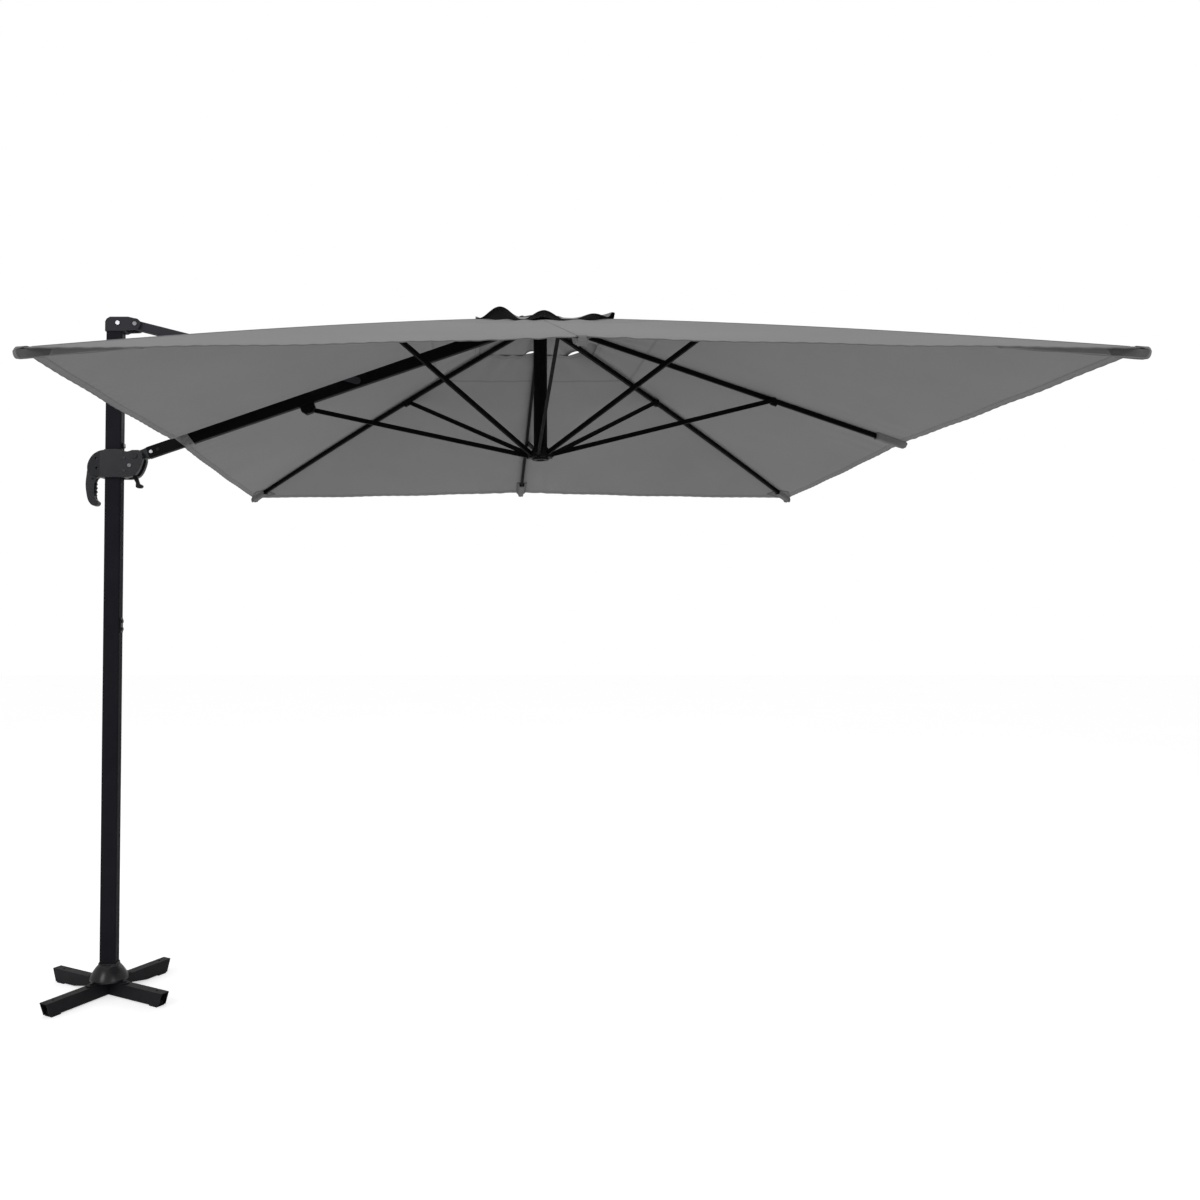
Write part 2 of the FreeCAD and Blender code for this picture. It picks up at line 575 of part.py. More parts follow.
save("top_hub", top_hub())
save("centre_post", cyl_z(POST_R, 2197, 2721.5, HUB_X, 0).cut(
    cyl_z(POST_R - 2.5, 2190, 2730, HUB_X, 0)))
save("rib_pins", [at_hub(cyl_y(SMALL_PIN_R, RIB_R0, RIB_Z0, -12.5, 12.5), deg)
                  for deg in RIB_DEGS.values()])
save("lower_hub", lower_hub())
save("strut_pins", [at_hub(strut_pin(name), deg) for name, deg in COMPASS.items()])


# ---- ribs, modelled along +X from the canopy axis ----------------------------
def rib_kind(deg):
    return "mid" if deg % 90 == 0 else "corner"


def rib_z(kind, r):
    """Height of the rib centre line at radius r."""
    end_r, end_z, bow, _ = RIB_KINDS[kind]
    t = (r - RIB_R0) / (end_r - RIB_R0)
    return RIB_Z0 + (end_z - RIB_Z0) * t + 4 * bow * t * (1 - t)


def rib_bar(kind, start, end, height, width):
    end_r, end_z, bow, _ = RIB_KINDS[kind]
    rise = height / 2 / cos(atan2(RIB_Z0 - end_z, end_r - RIB_R0))

    def long_edge(from_r, to_r, dz):
        first, middle, last = [Vec(r, -width / 2, rib_z(kind, r) + dz)
                               for r in (from_r, (start + end) / 2, to_r)]
        curve = Part.Arc(first, middle, last) if bow else Part.LineSegment(first, last)
        return curve.toShape(), first, last

    top, top_start, top_end = long_edge(start, end, rise)
    bottom, bottom_end, bottom_start = long_edge(end, start, -rise)
    wire = Part.Wire([top] + lines([top_end, bottom_end])
                     + [bottom] + lines([bottom_start, top_start]))
    return Part.Face(wire).extrude(Vec(0, width, 0))


def rib(kind):
    """Hollow bar with an eye at the hub, a clip for the strut and a ball at the tip."""
    end_r, _, _, clip_r = RIB_KINDS[kind]
    bar = rib_bar(kind, RIB_R0, end_r, RIB_H, RIB_W)
    bar = bar.cut(rib_bar(kind, RIB_R0 + 28, end_r - 22, RIB_H - 4, RIB_W - 3.6))
    hole_r = RIB_R0 + 60    # small hole in the underside
    hole_z = rib_z(kind, hole_r)
    bar = bar.cut(cyl_z(1.5, hole_z - 14, hole_z - 4, hole_r, 0))
    slope = (rib_z(kind, clip_r + 20) - rib_z(kind, clip_r - 20)) / 40.0
    clip = prism_xz([(clip_r + dr, rib_z(kind, clip_r) + dr * slope + dz)
                     for dr, dz in ((-17, -9), (17, -9), (11, -20), (-11, -20))],
                    -RIB_W / 2, RIB_W / 2)
    bar = fuse(bar, cyl_y(RIB_H / 2, RIB_R0, RIB_Z0, -RIB_W / 2, RIB_W / 2), clip,
               Part.makeSphere(8.5, Vec(end_r + 4, 0, rib_z(kind, end_r) - 1.5)))
    return bar.cut(cyl_y(SMALL_PIN_R + PIN_FIT, RIB_R0, RIB_Z0, -20, 20))


for name, deg in RIB_DEGS.items():
    save("rib_" + name, at_hub(rib(rib_kind(deg)), deg))


# ---- canopy struts -----------------------------------------------------------
def strut(end_r, end_z, off):
    """Hollow bar with round ends and a rivet head at its outer end."""
    angle, length = span_xz(STRUT_R0, STRUT_Z0, end_r, end_z)
    half_w, half_h = STRUT_W / 2, STRUT_H / 2
    bar = fuse(box(0, length, -half_w, half_w, -half_h, half_h),
               cyl_y(half_h, 0, 0, -half_w, half_w), cyl_y(half_h, length, 0, -half_w, half_w))
    bar = bar.cut([box(24, length - 24, -half_w + STRUT_WALL, half_w - STRUT_WALL,
                       -half_h + STRUT_WALL, half_h - STRUT_WALL),
                   cyl_z(1.5, -half_h - 2, -half_h + 4, 40, 0),     # hole in the underside
                   cyl_y(SMALL_PIN_R + PIN_FIT, 0, 0, -20, 20)])
    bar = fuse(bar, cyl_y(5.5, length, 0, -half_w - 2, -half_w))
    bar = tilt(bar, STRUT_R0, STRUT_Z0, angle)
    bar.translate(Vec(0, off, 0))
    return bar


def strut_end(name, deg):
    if name == "w":
        return HUB_X - WEST_X, WEST_Z
    meet_r = RIB_KINDS[rib_kind(deg)][3]
    return meet_r, rib_z(rib_kind(deg), meet_r)


for name, deg in COMPASS.items():
    save("strut_" + name, at_hub(strut(*strut_end(name, deg), strut_offset(name)), deg))


# ---- fabric, x and y measured from the canopy axis ---------------------------
def bump(x, y):
    """The west panel runs over the boom, so the cloth is higher there."""
    if x >= 0 or abs(y) >= BUMP_HALF:
        return 0.0
    if abs(y) <= SLIT_HALF:
        return BUMP_RISE
    return BUMP_RISE * ((BUMP_HALF - abs(y)) / (BUMP_HALF - SLIT_HALF))


def cloth_z(x, y):
    """Middle of the cloth: t runs from centre to edge, u from mid side to corner."""
    reach = max(abs(x), abs(y))
    u = min(abs(x), abs(y)) / reach
    t = reach / HALF
    edge = CLOTH_MID_Z + (CLOTH_CORNER_Z - CLOTH_MID_Z) * u
    z = CLOTH_TOP_Z + (edge - CLOTH_TOP_Z) * t
    z += 60.0 * t * (1 - t) * u * u - 24.0 * t * u * (1 - u)    # corner bow, sag between
    return z + bump(x, y)


def sheet(points, triangles):
    """Closed thin solid about a triangulated middle surface."""
    top = [Vec(x, y, z + CLOTH_T / 2) for x, y, z in points]
    low = [Vec(x, y, z - CLOTH_T / 2) for x, y, z in points]
    faces, edges = [], []
    for a, b, c in triangles:
        faces.append(polygon([top[a], top[b], top[c]]))
        faces.append(polygon([low[a], low[c], low[b]]))
        edges += [(a, b), (b, c), (c, a)]
    for i, j in edges:
        if (j, i) not in edges:     # an outer edge: close it with a wall
            faces.append(polygon([top[i], low[i], low[j]]))
            faces.append(polygon([top[i], low[j], top[j]]))
    skin = Part.makeShell(faces)
    skin.sewShape()
    if not isinstance(skin, Part.Shell):    # makeShell may give a compound instead
        skin = Part.Shell(skin.Faces)
    solid = Part.makeSolid(skin)
    if solid.Volume < 0:
        solid.reverse()
    return solid


def grid(rows, holes=()):
    """Points and triangles of a grid, leaving out the (row, column) cells in holes."""
    width = len(rows[0])
    points = [point for row in rows for point in row]
    triangles = []
    for i in range(len(rows) - 1):
        for j in range(width - 1):
            if (i, j) in holes:
                continue
            a, b = i * width + j, (i + 1) * width + j
            triangles += [(a, b, b + 1), (a, b + 1, a + 1)]
    used = sorted({k for triangle in triangles for k in triangle})
    new = {k: n for n, k in enumerate(used)}
    return [points[k] for k in used], [tuple(new[k] for k in t) for t in triangles]


SEAM = tan(radians(22.5))       # slope of the seams beside each mid-side panel
ROWS = [VENT, 500.0, 750.0, 1000.0, 1250.0, HALF]
WEST_ROWS = [VENT, 480.0, SLIT_START, SLIT_END, 1220.0, HALF]
WEST_SLIT = ((2, 3), (2, 4))    # grid cells left open for the slit


def on_cloth(x, y):
    return x, y, cloth_z(x, y)


def west_row(q):
    edge = SEAM * q - PANEL_GAP
    half = [edge, BUMP_HALF, 60.0, SLIT_HALF]
    return [on_cloth(-q, y) for y in half + [0.0] + [-y for y in reversed(half)]]


def side_row(q):
    edge = SEAM - PANEL_GAP / q
    return [on_cloth(q, q * c) for c in (-edge, -edge / 2, 0.0, edge / 2, edge)]


def corner_row(q):
    edge = SEAM + PANEL_GAP / q
    mid = (1 + edge) / 2
    return [on_cloth(q * x, q * y)
            for x, y in ((1, edge), (1, mid), (1, 1), (mid, 1), (edge, 1))]


def panel(name, deg):
    if name == "w":
        return at_hub(sheet(*grid([west_row(q) for q in WEST_ROWS], WEST_SLIT)))
    if deg % 90 == 0:
        return at_hub(sheet(*grid([side_row(q) for q in ROWS])), deg)
    return at_hub(sheet(*grid([corner_row(q) for q in ROWS])), deg - 45)


for name, deg in COMPASS.items():
    save("canopy_" + name, panel(name, deg))


# ---- vent cap ----------------------------------------------------------------
def cap_lift(s):
    """Three arches along each side of the hem."""
    s = abs(s)
    if s <= ARCH_HALF:
        return CAP_REST + ARCH_RISE * cos(pi * s / (2 * ARCH_HALF)) ** 2
    centre, width = (ARCH_HALF + CAP) / 2, CAP - ARCH_HALF
    return CAP_REST + ARCH_RISE * max(0.0, cos(pi * (s - centre) / width)) ** 2


def cap_point(x, y, g):
    """Point along the ray (x, y): g is 0 at the edge of the crown, 1 at the hem."""
    crown = CROWN_BOOM_R if x < -0.9 and abs(y) < 0.2 else CROWN_R
    start = crown / (CAP * sqrt(x * x + y * y))
    scale = start + (1 - start) * g
    over_boom = x < -0.9 and abs(y) < 0.6       # the cloth below is raised here
    low = cloth_z(CAP * x, CAP * y) + CAP_REST + (2.0 if over_boom else 0.0)
    sag = 0.0 if over_boom else CAP_SAG
    lift = cap_lift(CAP * (y if abs(x) >= abs(y) else x)) - CAP_REST
    z = CAP_TOP_Z + (low - CAP_TOP_Z) * g + lift * g * g - 4 * sag * g * (1 - g)
    return CAP * scale * x, CAP * scale * y, z


def vent_cap():
    # stations along one side of the hem, as fractions of CAP
    side = [-1.0, -0.82, -0.676, -0.52, -0.352, -0.176, 0.0, 0.176, 0.352, 0.52, 0.676, 0.82]
    ring = ([(1, s) for s in side] + [(-s, 1) for s in side]
            + [(-1, -s) for s in side] + [(s, -1) for s in side])
    count = len(ring)
    levels = (0.0, 0.3, 0.7, 1.0)       # crown edge to hem
    points = [(0.0, 0.0, CAP_TOP_Z)] + [cap_point(x, y, g) for g in levels for x, y in ring]
    triangles = [(0, 1 + j, 1 + (j + 1) % count) for j in range(count)]
    for level in range(len(levels) - 1):
        for j in range(count):
            a, b = 1 + level * count + j, 1 + level * count + (j + 1) % count
            triangles += [(a, a + count, b + count), (a, b + count, b)]
    return at_hub(sheet(points, triangles))


save("vent_cap", vent_cap())
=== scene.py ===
import bpy
import json
import math
import numpy as np
from mathutils import Matrix, Vector


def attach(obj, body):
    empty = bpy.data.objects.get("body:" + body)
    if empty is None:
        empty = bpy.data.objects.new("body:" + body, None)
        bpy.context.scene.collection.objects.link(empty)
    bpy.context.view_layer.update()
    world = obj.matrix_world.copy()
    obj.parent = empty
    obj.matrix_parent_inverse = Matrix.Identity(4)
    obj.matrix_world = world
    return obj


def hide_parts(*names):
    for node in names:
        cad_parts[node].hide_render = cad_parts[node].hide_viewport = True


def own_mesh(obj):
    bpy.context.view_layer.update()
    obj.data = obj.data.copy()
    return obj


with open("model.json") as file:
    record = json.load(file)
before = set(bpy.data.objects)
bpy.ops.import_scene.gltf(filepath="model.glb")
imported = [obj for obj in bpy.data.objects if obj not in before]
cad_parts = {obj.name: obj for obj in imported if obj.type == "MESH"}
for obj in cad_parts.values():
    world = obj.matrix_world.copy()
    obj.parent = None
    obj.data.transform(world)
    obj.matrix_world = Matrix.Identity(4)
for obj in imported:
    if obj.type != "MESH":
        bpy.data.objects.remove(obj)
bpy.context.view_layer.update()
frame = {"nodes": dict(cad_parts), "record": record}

SC = bpy.context.scene
HX = 1.759                      # canopy axis
T8 = math.tan(math.pi / 8)
ANG = {"e": 0, "ne": 45, "n": 90, "nw": 135, "w": 180, "sw": 225, "s": 270, "se": 315}
BX, BZ = 0.093, 2.189           # boom hinge
EX, EZ = HX - 0.077, 2.737      # boom end
BANG = math.atan2(EZ - BZ, EX - BX)
SLIT_A, SLIT_B, SLIT_W = 0.719, 0.959, 0.028
VENT, HALF, CAP = 0.250, 1.500, 0.270
CAP_TOP, CROWN_R, CROWN_BOOM, CAP_REST, CAP_SAG = 2.7575, 0.080, 0.118, 0.005, 0.008
FAB = 0.0015


# ---------------------------------------------------------------- node helpers
class Nodes:
    """Small wrapper that builds a node tree."""

    def __init__(self, name):
        self.mat = bpy.data.materials.new(name)
        self.mat.use_nodes = True
        self.nt = self.mat.node_tree
        self.nt.nodes.clear()
        self.out = self.nt.nodes.new("ShaderNodeOutputMaterial")

    def new(self, kind, **props):
        n = self.nt.nodes.new(kind)
        for k, v in props.items():
            if k == "inputs":
                for name, value in v.items():
                    if isinstance(value, bpy.types.NodeSocket):
                        self.nt.links.new(value, n.inputs[name])
                    else:
                        n.inputs[name].default_value = value
            else:
                setattr(n, k, v)
        return n

    def coords(self):
        return self.new("ShaderNodeTexCoord").outputs["Object"]

    def noise(self, scale, detail=3.0, rough=0.55, vec=None, stretch=None):
        vec = vec or self.coords()
        if stretch:
            vec = self.new("ShaderNodeMapping", inputs={"Vector": vec, "Scale": stretch}).outputs[0]
        return self.new("ShaderNodeTexNoise", inputs={"Vector": vec, "Scale": scale, "Detail": detail,
                                                      "Roughness": rough}).outputs["Fac"]

    def ramp(self, fac, lo, hi, a=0.0, b=1.0):
        return self.new("ShaderNodeMapRange", inputs={"Value": fac, "From Min": lo, "From Max": hi,
                                                      "To Min": a, "To Max": b}).outputs[0]

    def math(self, op, a, b=0.0, clamp=False):
        n = self.new("ShaderNodeMath", operation=op, use_clamp=clamp)
        for i, v in enumerate((a, b)):
            if isinstance(v, bpy.types.NodeSocket):
                self.nt.links.new(v, n.inputs[i])
            else:
                n.inputs[i].default_value = v
        return n.outputs[0]

    def mix(self, fac, a, b):
        n = self.new("ShaderNodeMix", data_type="RGBA")
        for i, v in ((0, fac), (6, a), (7, b)):
            if isinstance(v, bpy.types.NodeSocket):
                self.nt.links.new(v, n.inputs[i])
            else:
                n.inputs[i].default_value = v
        return n.outputs[2]

    def bump(self, height, dist, strength=1.0, normal=None):
        n = self.new("ShaderNodeBump", inputs={"Height": height, "Distance": dist, "Strength": strength})
        if normal is not None:
            self.nt.links.new(normal, n.inputs["Normal"])
        return n.outputs[0]

    def edge(self, radius, samples=6):
        """(rounded normal, mask that is 1 on sharp edges)"""
        b = self.new("ShaderNodeBevel", samples=samples, inputs={"Radius": radius}).outputs[0]
        g = self.new("ShaderNodeNewGeometry").outputs["Normal"]
        d = self.new("ShaderNodeVectorMath", operation="DOT_PRODUCT")
        self.nt.links.new(b, d.inputs[0])
        self.nt.links.new(g, d.inputs[1])
        return b, self.ramp(d.outputs["Value"], 0.985, 0.86, 0.0, 1.0)

    def done(self, shader):
        self.nt.links.new(shader, self.out.inputs["Surface"])
        return self.mat


def rgb(c, k=1.0):
    return (c[0] * k, c[1] * k, c[2] * k, 1.0)


def powder_coat(name, c, rough=0.44, spread=0.25, edge=1.9, grain=1400.0, spec=0.2):
    t = Nodes(name)
    big = t.noise(7.0, 4.0)
    fine = t.noise(grain, 2.0, 0.6)
    col = t.mix(t.ramp(big, 0.3, 0.7), rgb(c, 1 - spread), rgb(c, 1 + spread))
    rn, mask = t.edge(0.0014)
    scuff = t.math("MULTIPLY", mask, t.ramp(t.noise(60.0, 5.0, 0.7), 0.42, 0.62), True)
    col = t.mix(t.math("MULTIPLY", scuff, 0.55), col, rgb((c[0] * edge + .006, c[1] * edge + .006, c[2] * edge + .0065)))
    r = t.math("ADD", t.ramp(t.noise(24.0, 5.0, 0.65), 0.3, 0.7, rough - 0.06, rough + 0.08), t.ramp(fine, 0.3, 0.7, -0.03, 0.05))
    p = t.new("ShaderNodeBsdfPrincipled", inputs={
        "Base Color": col, "Roughness": r, "Specular IOR Level": spec,
        "Normal": t.bump(fine, 0.00025, 0.55, rn)})
    return t.done(p.outputs[0])


def plastic(name, c, rough=0.4, spread=0.18, coat=0.0, grain=900.0, depth=0.0002, ribs=None, spec=0.35):
    t = Nodes(name)
    col = t.mix(t.ramp(t.noise(5.0, 3.0), 0.3, 0.7), rgb(c, 1 - spread), rgb(c, 1 + spread))
    rn, mask = t.edge(0.0020)
    # painted edge highlight: every sharp edge of the plastic is lightened evenly
    col = t.mix(t.math("MULTIPLY", mask, 0.35), col, rgb((c[0] * 1.8 + .01, c[1] * 1.8 + .01, c[2] * 1.8 + .01)))
    vor = t.new("ShaderNodeTexVoronoi", inputs={"Vector": t.coords(), "Scale": grain}).outputs["Distance"]
    h = t.math("ADD", t.math("MULTIPLY", vor, 0.6), t.math("MULTIPLY", t.noise(grain * 0.6, 2.0), 0.4))
    if ribs:
        w = t.new("ShaderNodeTexWave", wave_type="BANDS", bands_direction=ribs[0], inputs={
            "Vector": t.coords(), "Scale": ribs[1], "Distortion": 0.0}).outputs["Fac"]
        h = t.math("ADD", h, t.math("MULTIPLY", w, 3.0))
    r = t.ramp(t.noise(30.0, 5.0, 0.7), 0.3, 0.7, rough - 0.07, rough + 0.09)
    p = t.new("ShaderNodeBsdfPrincipled", inputs={
        "Base Color": col, "Roughness": r, "Specular IOR Level": spec, "Coat Weight": coat, "Coat Roughness": 0.18,
        "Normal": t.bump(h, depth, 0.5, rn)})
    return t.done(p.outputs[0])


def steel(name, c):
    t = Nodes(name)
    lines = t.noise(260.0, 3.0, 0.7, stretch=(1.0, 0.06, 1.0))
    col = t.mix(t.ramp(t.noise(40.0, 4.0), 0.35, 0.75), rgb(c), rgb(c, 0.72))
    rn, mask = t.edge(0.0007)
    p = t.new("ShaderNodeBsdfPrincipled", inputs={
        "Base Color": col, "Metallic": 0.85, "Roughness": t.ramp(lines, 0.3, 0.7, 0.24, 0.42),
        "Normal": t.bump(lines, 0.00012, 0.5, rn)})
    return t.done(p.outputs[0])


def steel_with_painted_shade(name, c, axis, limit, below, other=(.008, .008, .009), metal=0.0):
    """Bare steel heads on one side of a limit along an axis; on the other side the same heads are painted dark, as
    painted shade, so only the first ones shine.
    """
    t = Nodes(name)
    sp = t.new("ShaderNodeSeparateXYZ", inputs={0: t.coords()})
    on = t.math("LESS_THAN" if below else "GREATER_THAN", sp.outputs[axis], limit)
    n = t.noise(420.0, 4.0, stretch=(1, 6, 1))
    var = t.mix(t.ramp(n, .3, .7), rgb(c, .86), rgb(c, 1.1))
    col = t.mix(on, rgb(other), var)
    r = t.mix(t.ramp(n, .3, .7), (.30, .30, .30, 1), (.42, .42, .42, 1))
    p = t.new("ShaderNodeBsdfPrincipled", inputs={"Base Color": col, "Roughness": r, "Metallic": t.math("MAXIMUM", on, metal),
        "Specular IOR Level": 0.15, "Normal": t.bump(n, 0.0002, 0.4)})
    return t.done(p.outputs[0])


def rubber(name, c):
    t = Nodes(name)
    dust = t.ramp(t.noise(45.0, 6.0, 0.7), 0.45, 0.75)
    col = t.mix(t.math("MULTIPLY", dust, 0.35), rgb(c), (0.05, 0.048, 0.045, 1))
    p = t.new("ShaderNodeBsdfPrincipled", inputs={
        "Base Color": col, "Roughness": t.ramp(dust, 0.0, 1.0, 0.72, 0.92), "Specular IOR Level": 0.3,
        "Normal": t.bump(t.noise(1500.0, 2.0), 0.0002, 0.6)})
    return t.done(p.outputs[0])


def cloth_mat(name, c, through=0.14, weave=0.0011, contrast=0.10, dark=0.42, sheen=0.15, rough=0.86):
    """Plain weave: two crossed thread waves, slub and cloud variation, darker seams from the 'tone' attribute."""
    t = Nodes(name)
    co = t.coords()
    wob = t.new("ShaderNodeTexNoise", inputs={"Vector": co, "Scale": 9.0, "Detail": 2.0}).outputs["Color"]
    vec = t.new("ShaderNodeVectorMath", operation="MULTIPLY_ADD")
    t.nt.links.new(wob, vec.inputs[0])
    vec.inputs[1].default_value = (0.004, 0.004, 0.004)
    t.nt.links.new(co, vec.inputs[2])
    v = vec.outputs[0]
    sc = 0.314159 / weave / 1.0

    def threads(direction):
        return t.new("ShaderNodeTexWave", wave_type="BANDS", bands_direction=direction, wave_profile="SIN", inputs={
            "Vector": v, "Scale": sc, "Distortion": 0.4, "Detail": 0.0, "Detail Scale": 30.0}).outputs["Fac"]
    wx, wy = threads("X"), threads("Y")
    over = t.math("MAXIMUM", wx, wy)
    slub_x = t.noise(60.0, 3.0, 0.6, stretch=(1.0, 16.0, 1.0))
    slub_y = t.noise(60.0, 3.0, 0.6, stretch=(16.0, 1.0, 1.0))
    slub = t.math("MULTIPLY", t.math("ADD", slub_x, slub_y), 0.5)
    cloud = t.noise(1.7, 5.0, 0.6)
    k = t.math("ADD", t.ramp(over, 0.2, 1.0, 1 - contrast, 1 + contrast * 0.4),
               t.math("ADD", t.ramp(slub, 0.35, 0.65, -0.05, 0.05), t.ramp(cloud, 0.3, 0.7, -0.045, 0.045)))
    tone = t.new("ShaderNodeAttribute", attribute_name="tone").outputs["Fac"]
    k = t.math("MULTIPLY", k, t.math("SUBTRACT", 1.0, t.math("MULTIPLY", tone, dark)))
    mul = t.new("ShaderNodeVectorMath", operation="SCALE")
    mul.inputs[0].default_value = c
    t.nt.links.new(k, mul.inputs["Scale"])
    col = mul.outputs[0]
    h = t.math("ADD", t.math("MULTIPLY", over, 0.7), t.math("MULTIPLY", slub, 0.6))
    nb = t.bump(h, 0.0003, 0.5)
    nb = t.bump(t.noise(22.0, 4.0, 0.55), 0.0012, 0.35, nb)
    p = t.new("ShaderNodeBsdfPrincipled", inputs={
        "Base Color": col, "Roughness": rough, "Specular IOR Level": 0.25, "Sheen Weight": sheen,
        "Sheen Roughness": 0.5, "Normal": nb})
    if through <= 0:
        return t.done(p.outputs[0])
    tr = t.new("ShaderNodeBsdfTranslucent", inputs={"Color": col, "Normal": nb})
    m = t.new("ShaderNodeMixShader", inputs={"Fac": through})
    t.nt.links.new(p.outputs[0], m.inputs[1])
    t.nt.links.new(tr.outputs[0], m.inputs[2])
    return t.done(m.outputs[0])


# ---------------------------------------------------------------- hard parts
SLOT_MATS = {
    "base_steel": powder_coat("base_steel", (.0105, .0103, .0128), 0.42, 0.2, grain=1100.0, spec=0.18),
    "mast_metal": powder_coat("mast_metal", (.0142, .0136, .0182), 0.50, 0.13, spec=0.05),
    "boom_metal": powder_coat("boom_metal", (.0034, .0034, .0040), 0.48, 0.2, spec=0.07),
    "rib_metal": powder_coat("rib_metal", (.0032, .0032, .0036), 0.50, 0.2, spec=0.06),
    "carriage_plastic": plastic("carriage_plastic", (.0158, .0162, .0200), 0.34, coat=0.05, spec=0.28),
    "cover_plastic": plastic("cover_plastic", (.0140, .0140, .0162), 0.30, coat=0.22, grain=1300.0, depth=0.0001, spec=0.3),
    "grip_plastic": plastic("grip_plastic", (.0085, .0085, .0095), 0.52, ribs=("Z", 40.0), spec=0.2),
    "hinge_cap": plastic("hinge_cap", (.0150, .0160, .0205), 0.36, coat=0.05, spec=0.25),
    "hub_plastic": plastic("hub_plastic", (.0045, .0045, .0050), 0.48, spec=0.12),
    "glide_plastic": plastic("glide_plastic", (.030, .030, .032), 0.45, spread=0.05),
    "bolt_steel": steel("bolt_steel", (.52, .52, .54)),
    "foot_rubber": rubber("foot_rubber", (.009, .009, .009)),
}
# painted light: the mast head and upper strut get a coat much lighter than the mast and boom, for the light falling on
# the top of the stand
HEAD_COAT_PAINTED_LIGHT = powder_coat("head_coat_painted_light", (.0400, .0395, .0480), 0.46, 0.13, edge=1.5, spec=0.08)
# painted shade: in each of these bolt sets the heads on one side of the limit are painted dark, the others keep their
# bright steel
BOLT_HEADS_PAINTED_SHADE = {"head_bolts": steel_with_painted_shade("head_bolt_steel", (.52, .52, .54), 0, 0.05, True, (.17, .17, .18), 1.0),
            "boom_bolts": steel_with_painted_shade("boom_bolt_steel", (.52, .52, .54), 0, 0.168, True),
            "carriage_pins": steel_with_painted_shade("pin_steel", (.17, .17, .18), 2, 2.12, False)}
DARK_SCREW = steel("dark_screw", (.050, .050, .056))
CLOTH = cloth_mat("canopy_cloth", (.290, .290, .290))
HEM = cloth_mat("canopy_hem", (.250, .250, .250), through=0.05)
POCKET = cloth_mat("pocket_cloth", (.175, .175, .175), through=0.0, weave=0.0016, contrast=0.18)
SLEEVE = cloth_mat("sleeve_cloth", (.200, .200, .200), through=0.0, weave=0.0016, contrast=0.18)
# painted shade: near-black underside for the three near cap sectors, for the shaded hollow under the cap hem
CAP_UNDER_PAINTED_SHADE = cloth_mat("cap_under_painted_shade", (.0070, .0070, .0075), through=0.0, contrast=0.2, sheen=0.02)
CAPTOP = cloth_mat("cap_cloth", (.275, .275, .275), through=0.03)
CAPUNDER = cloth_mat("cap_underside", (.255, .255, .255), through=0.0)

for part in frame["record"]["subparts"]:
    o = frame["nodes"][part["node"]]
    m = SLOT_MATS.get(part["material_slot"])
    if m is None:
        continue
    if part["node"] in ("shell_screws", "base_bolts", "rib_pins", "strut_pins"):
        m = DARK_SCREW
    # bolt heads painted dark on one side of a limit, as painted shade
    m = BOLT_HEADS_PAINTED_SHADE.get(part["node"], m)
    # painted light: mast head and upper strut take the lighter coat
    if part["node"] in ("upper_strut", "mast_head"):
        m = HEAD_COAT_PAINTED_LIGHT
    o.data.materials.clear()
    o.data.materials.append(m)


# ---------------------------------------------------------------- cloth shape
def turn(X, Y, deg):
    a = math.radians(deg)
    c, s = round(math.cos(a), 15), round(math.sin(a), 15)
    return X * c - Y * s, X * s + Y * c


def cloth_base(X, Y):
    X, Y = np.asarray(X, float), np.asarray(Y, float)
    q = np.maximum(np.abs(X), np.abs(Y))
    u = np.minimum(np.abs(X), np.abs(Y)) / np.maximum(q, 1e-9)
    t = q / HALF
    edge = 2.250 - 0.030 * u
    z = 2.770 + (edge - 2.770) * t + 0.060 * t * (1 - t) * u * u - 0.024 * t * u * (1 - u)
    f = np.clip((0.095 - np.abs(Y)) / (0.095 - SLIT_W), 0, 1)
    f = f * f * (3 - 2 * f)
    return z + np.where(X < 0, 0.0235 * f, 0.0)


LIPS = ((-.056, .006), (.138, .210))


def lips(s):
    """Height of the two small folds on the far edge of the vent: a slow rise, then a fall."""
    z = np.zeros_like(np.asarray(s, float))
    for a, b in LIPS:
        up = np.clip((s - a) / (b - a), 0, 1)
        down = np.clip(1 - (s - b) / .045, 0, 1)
        z = z + .015 * up * down * down * (3 - 2 * down)
    return z


def cloth_z(X, Y):
    """Middle surface of the cloth: the sheet with soft tension folds and puckers, all still at the ribs."""
    X, Y = np.asarray(X, float), np.asarray(Y, float)
    q = np.maximum(np.abs(X), np.abs(Y))
    u = np.minimum(np.abs(X), np.abs(Y)) / np.maximum(q, 1e-9)
    side = np.where(np.abs(X) >= np.abs(Y), Y, X)
    th = np.arctan2(Y, X)
    m = np.clip(4 * u * (1 - u), 0, 1)
    near_boom = np.where(X < 0, np.clip((np.abs(Y) - 0.06) / 0.08, 0, 1), 1.0)
    fan = np.exp(-((q - VENT) / 0.20) ** 2) * 0.0034 * np.sin(22 * th + 2.5 * np.sin(3 * th + 0.6) + 9 * q)
    drape = 0.0014 * (q / HALF) ** 2 * np.sin(2 * np.pi * side / 0.47 + 0.9 + 1.7 * np.sin(2 * th))
    pucker = np.exp(-((HALF - q) / 0.035) ** 2) * 0.0008 * np.sin(2 * np.pi * side / 0.052)
    toe = np.exp(-((HALF - q) / 0.30) ** 2) * np.exp(-(u / 0.16) ** 2) * 0.0016 * np.sin(70 * side) * np.clip(u / 0.05, 0, 1)
    lip = np.where((Y > 0) & (Y >= np.abs(X)), lips(X / np.maximum(q, 1e-9) * VENT) * np.exp(-((q - VENT) / 0.045) ** 2), 0.0)
    return cloth_base(X, Y) + lip + (fan * m + drape * m + pucker * np.clip(u / 0.06, 0, 1) * m ** 0.3 + toe) * near_boom


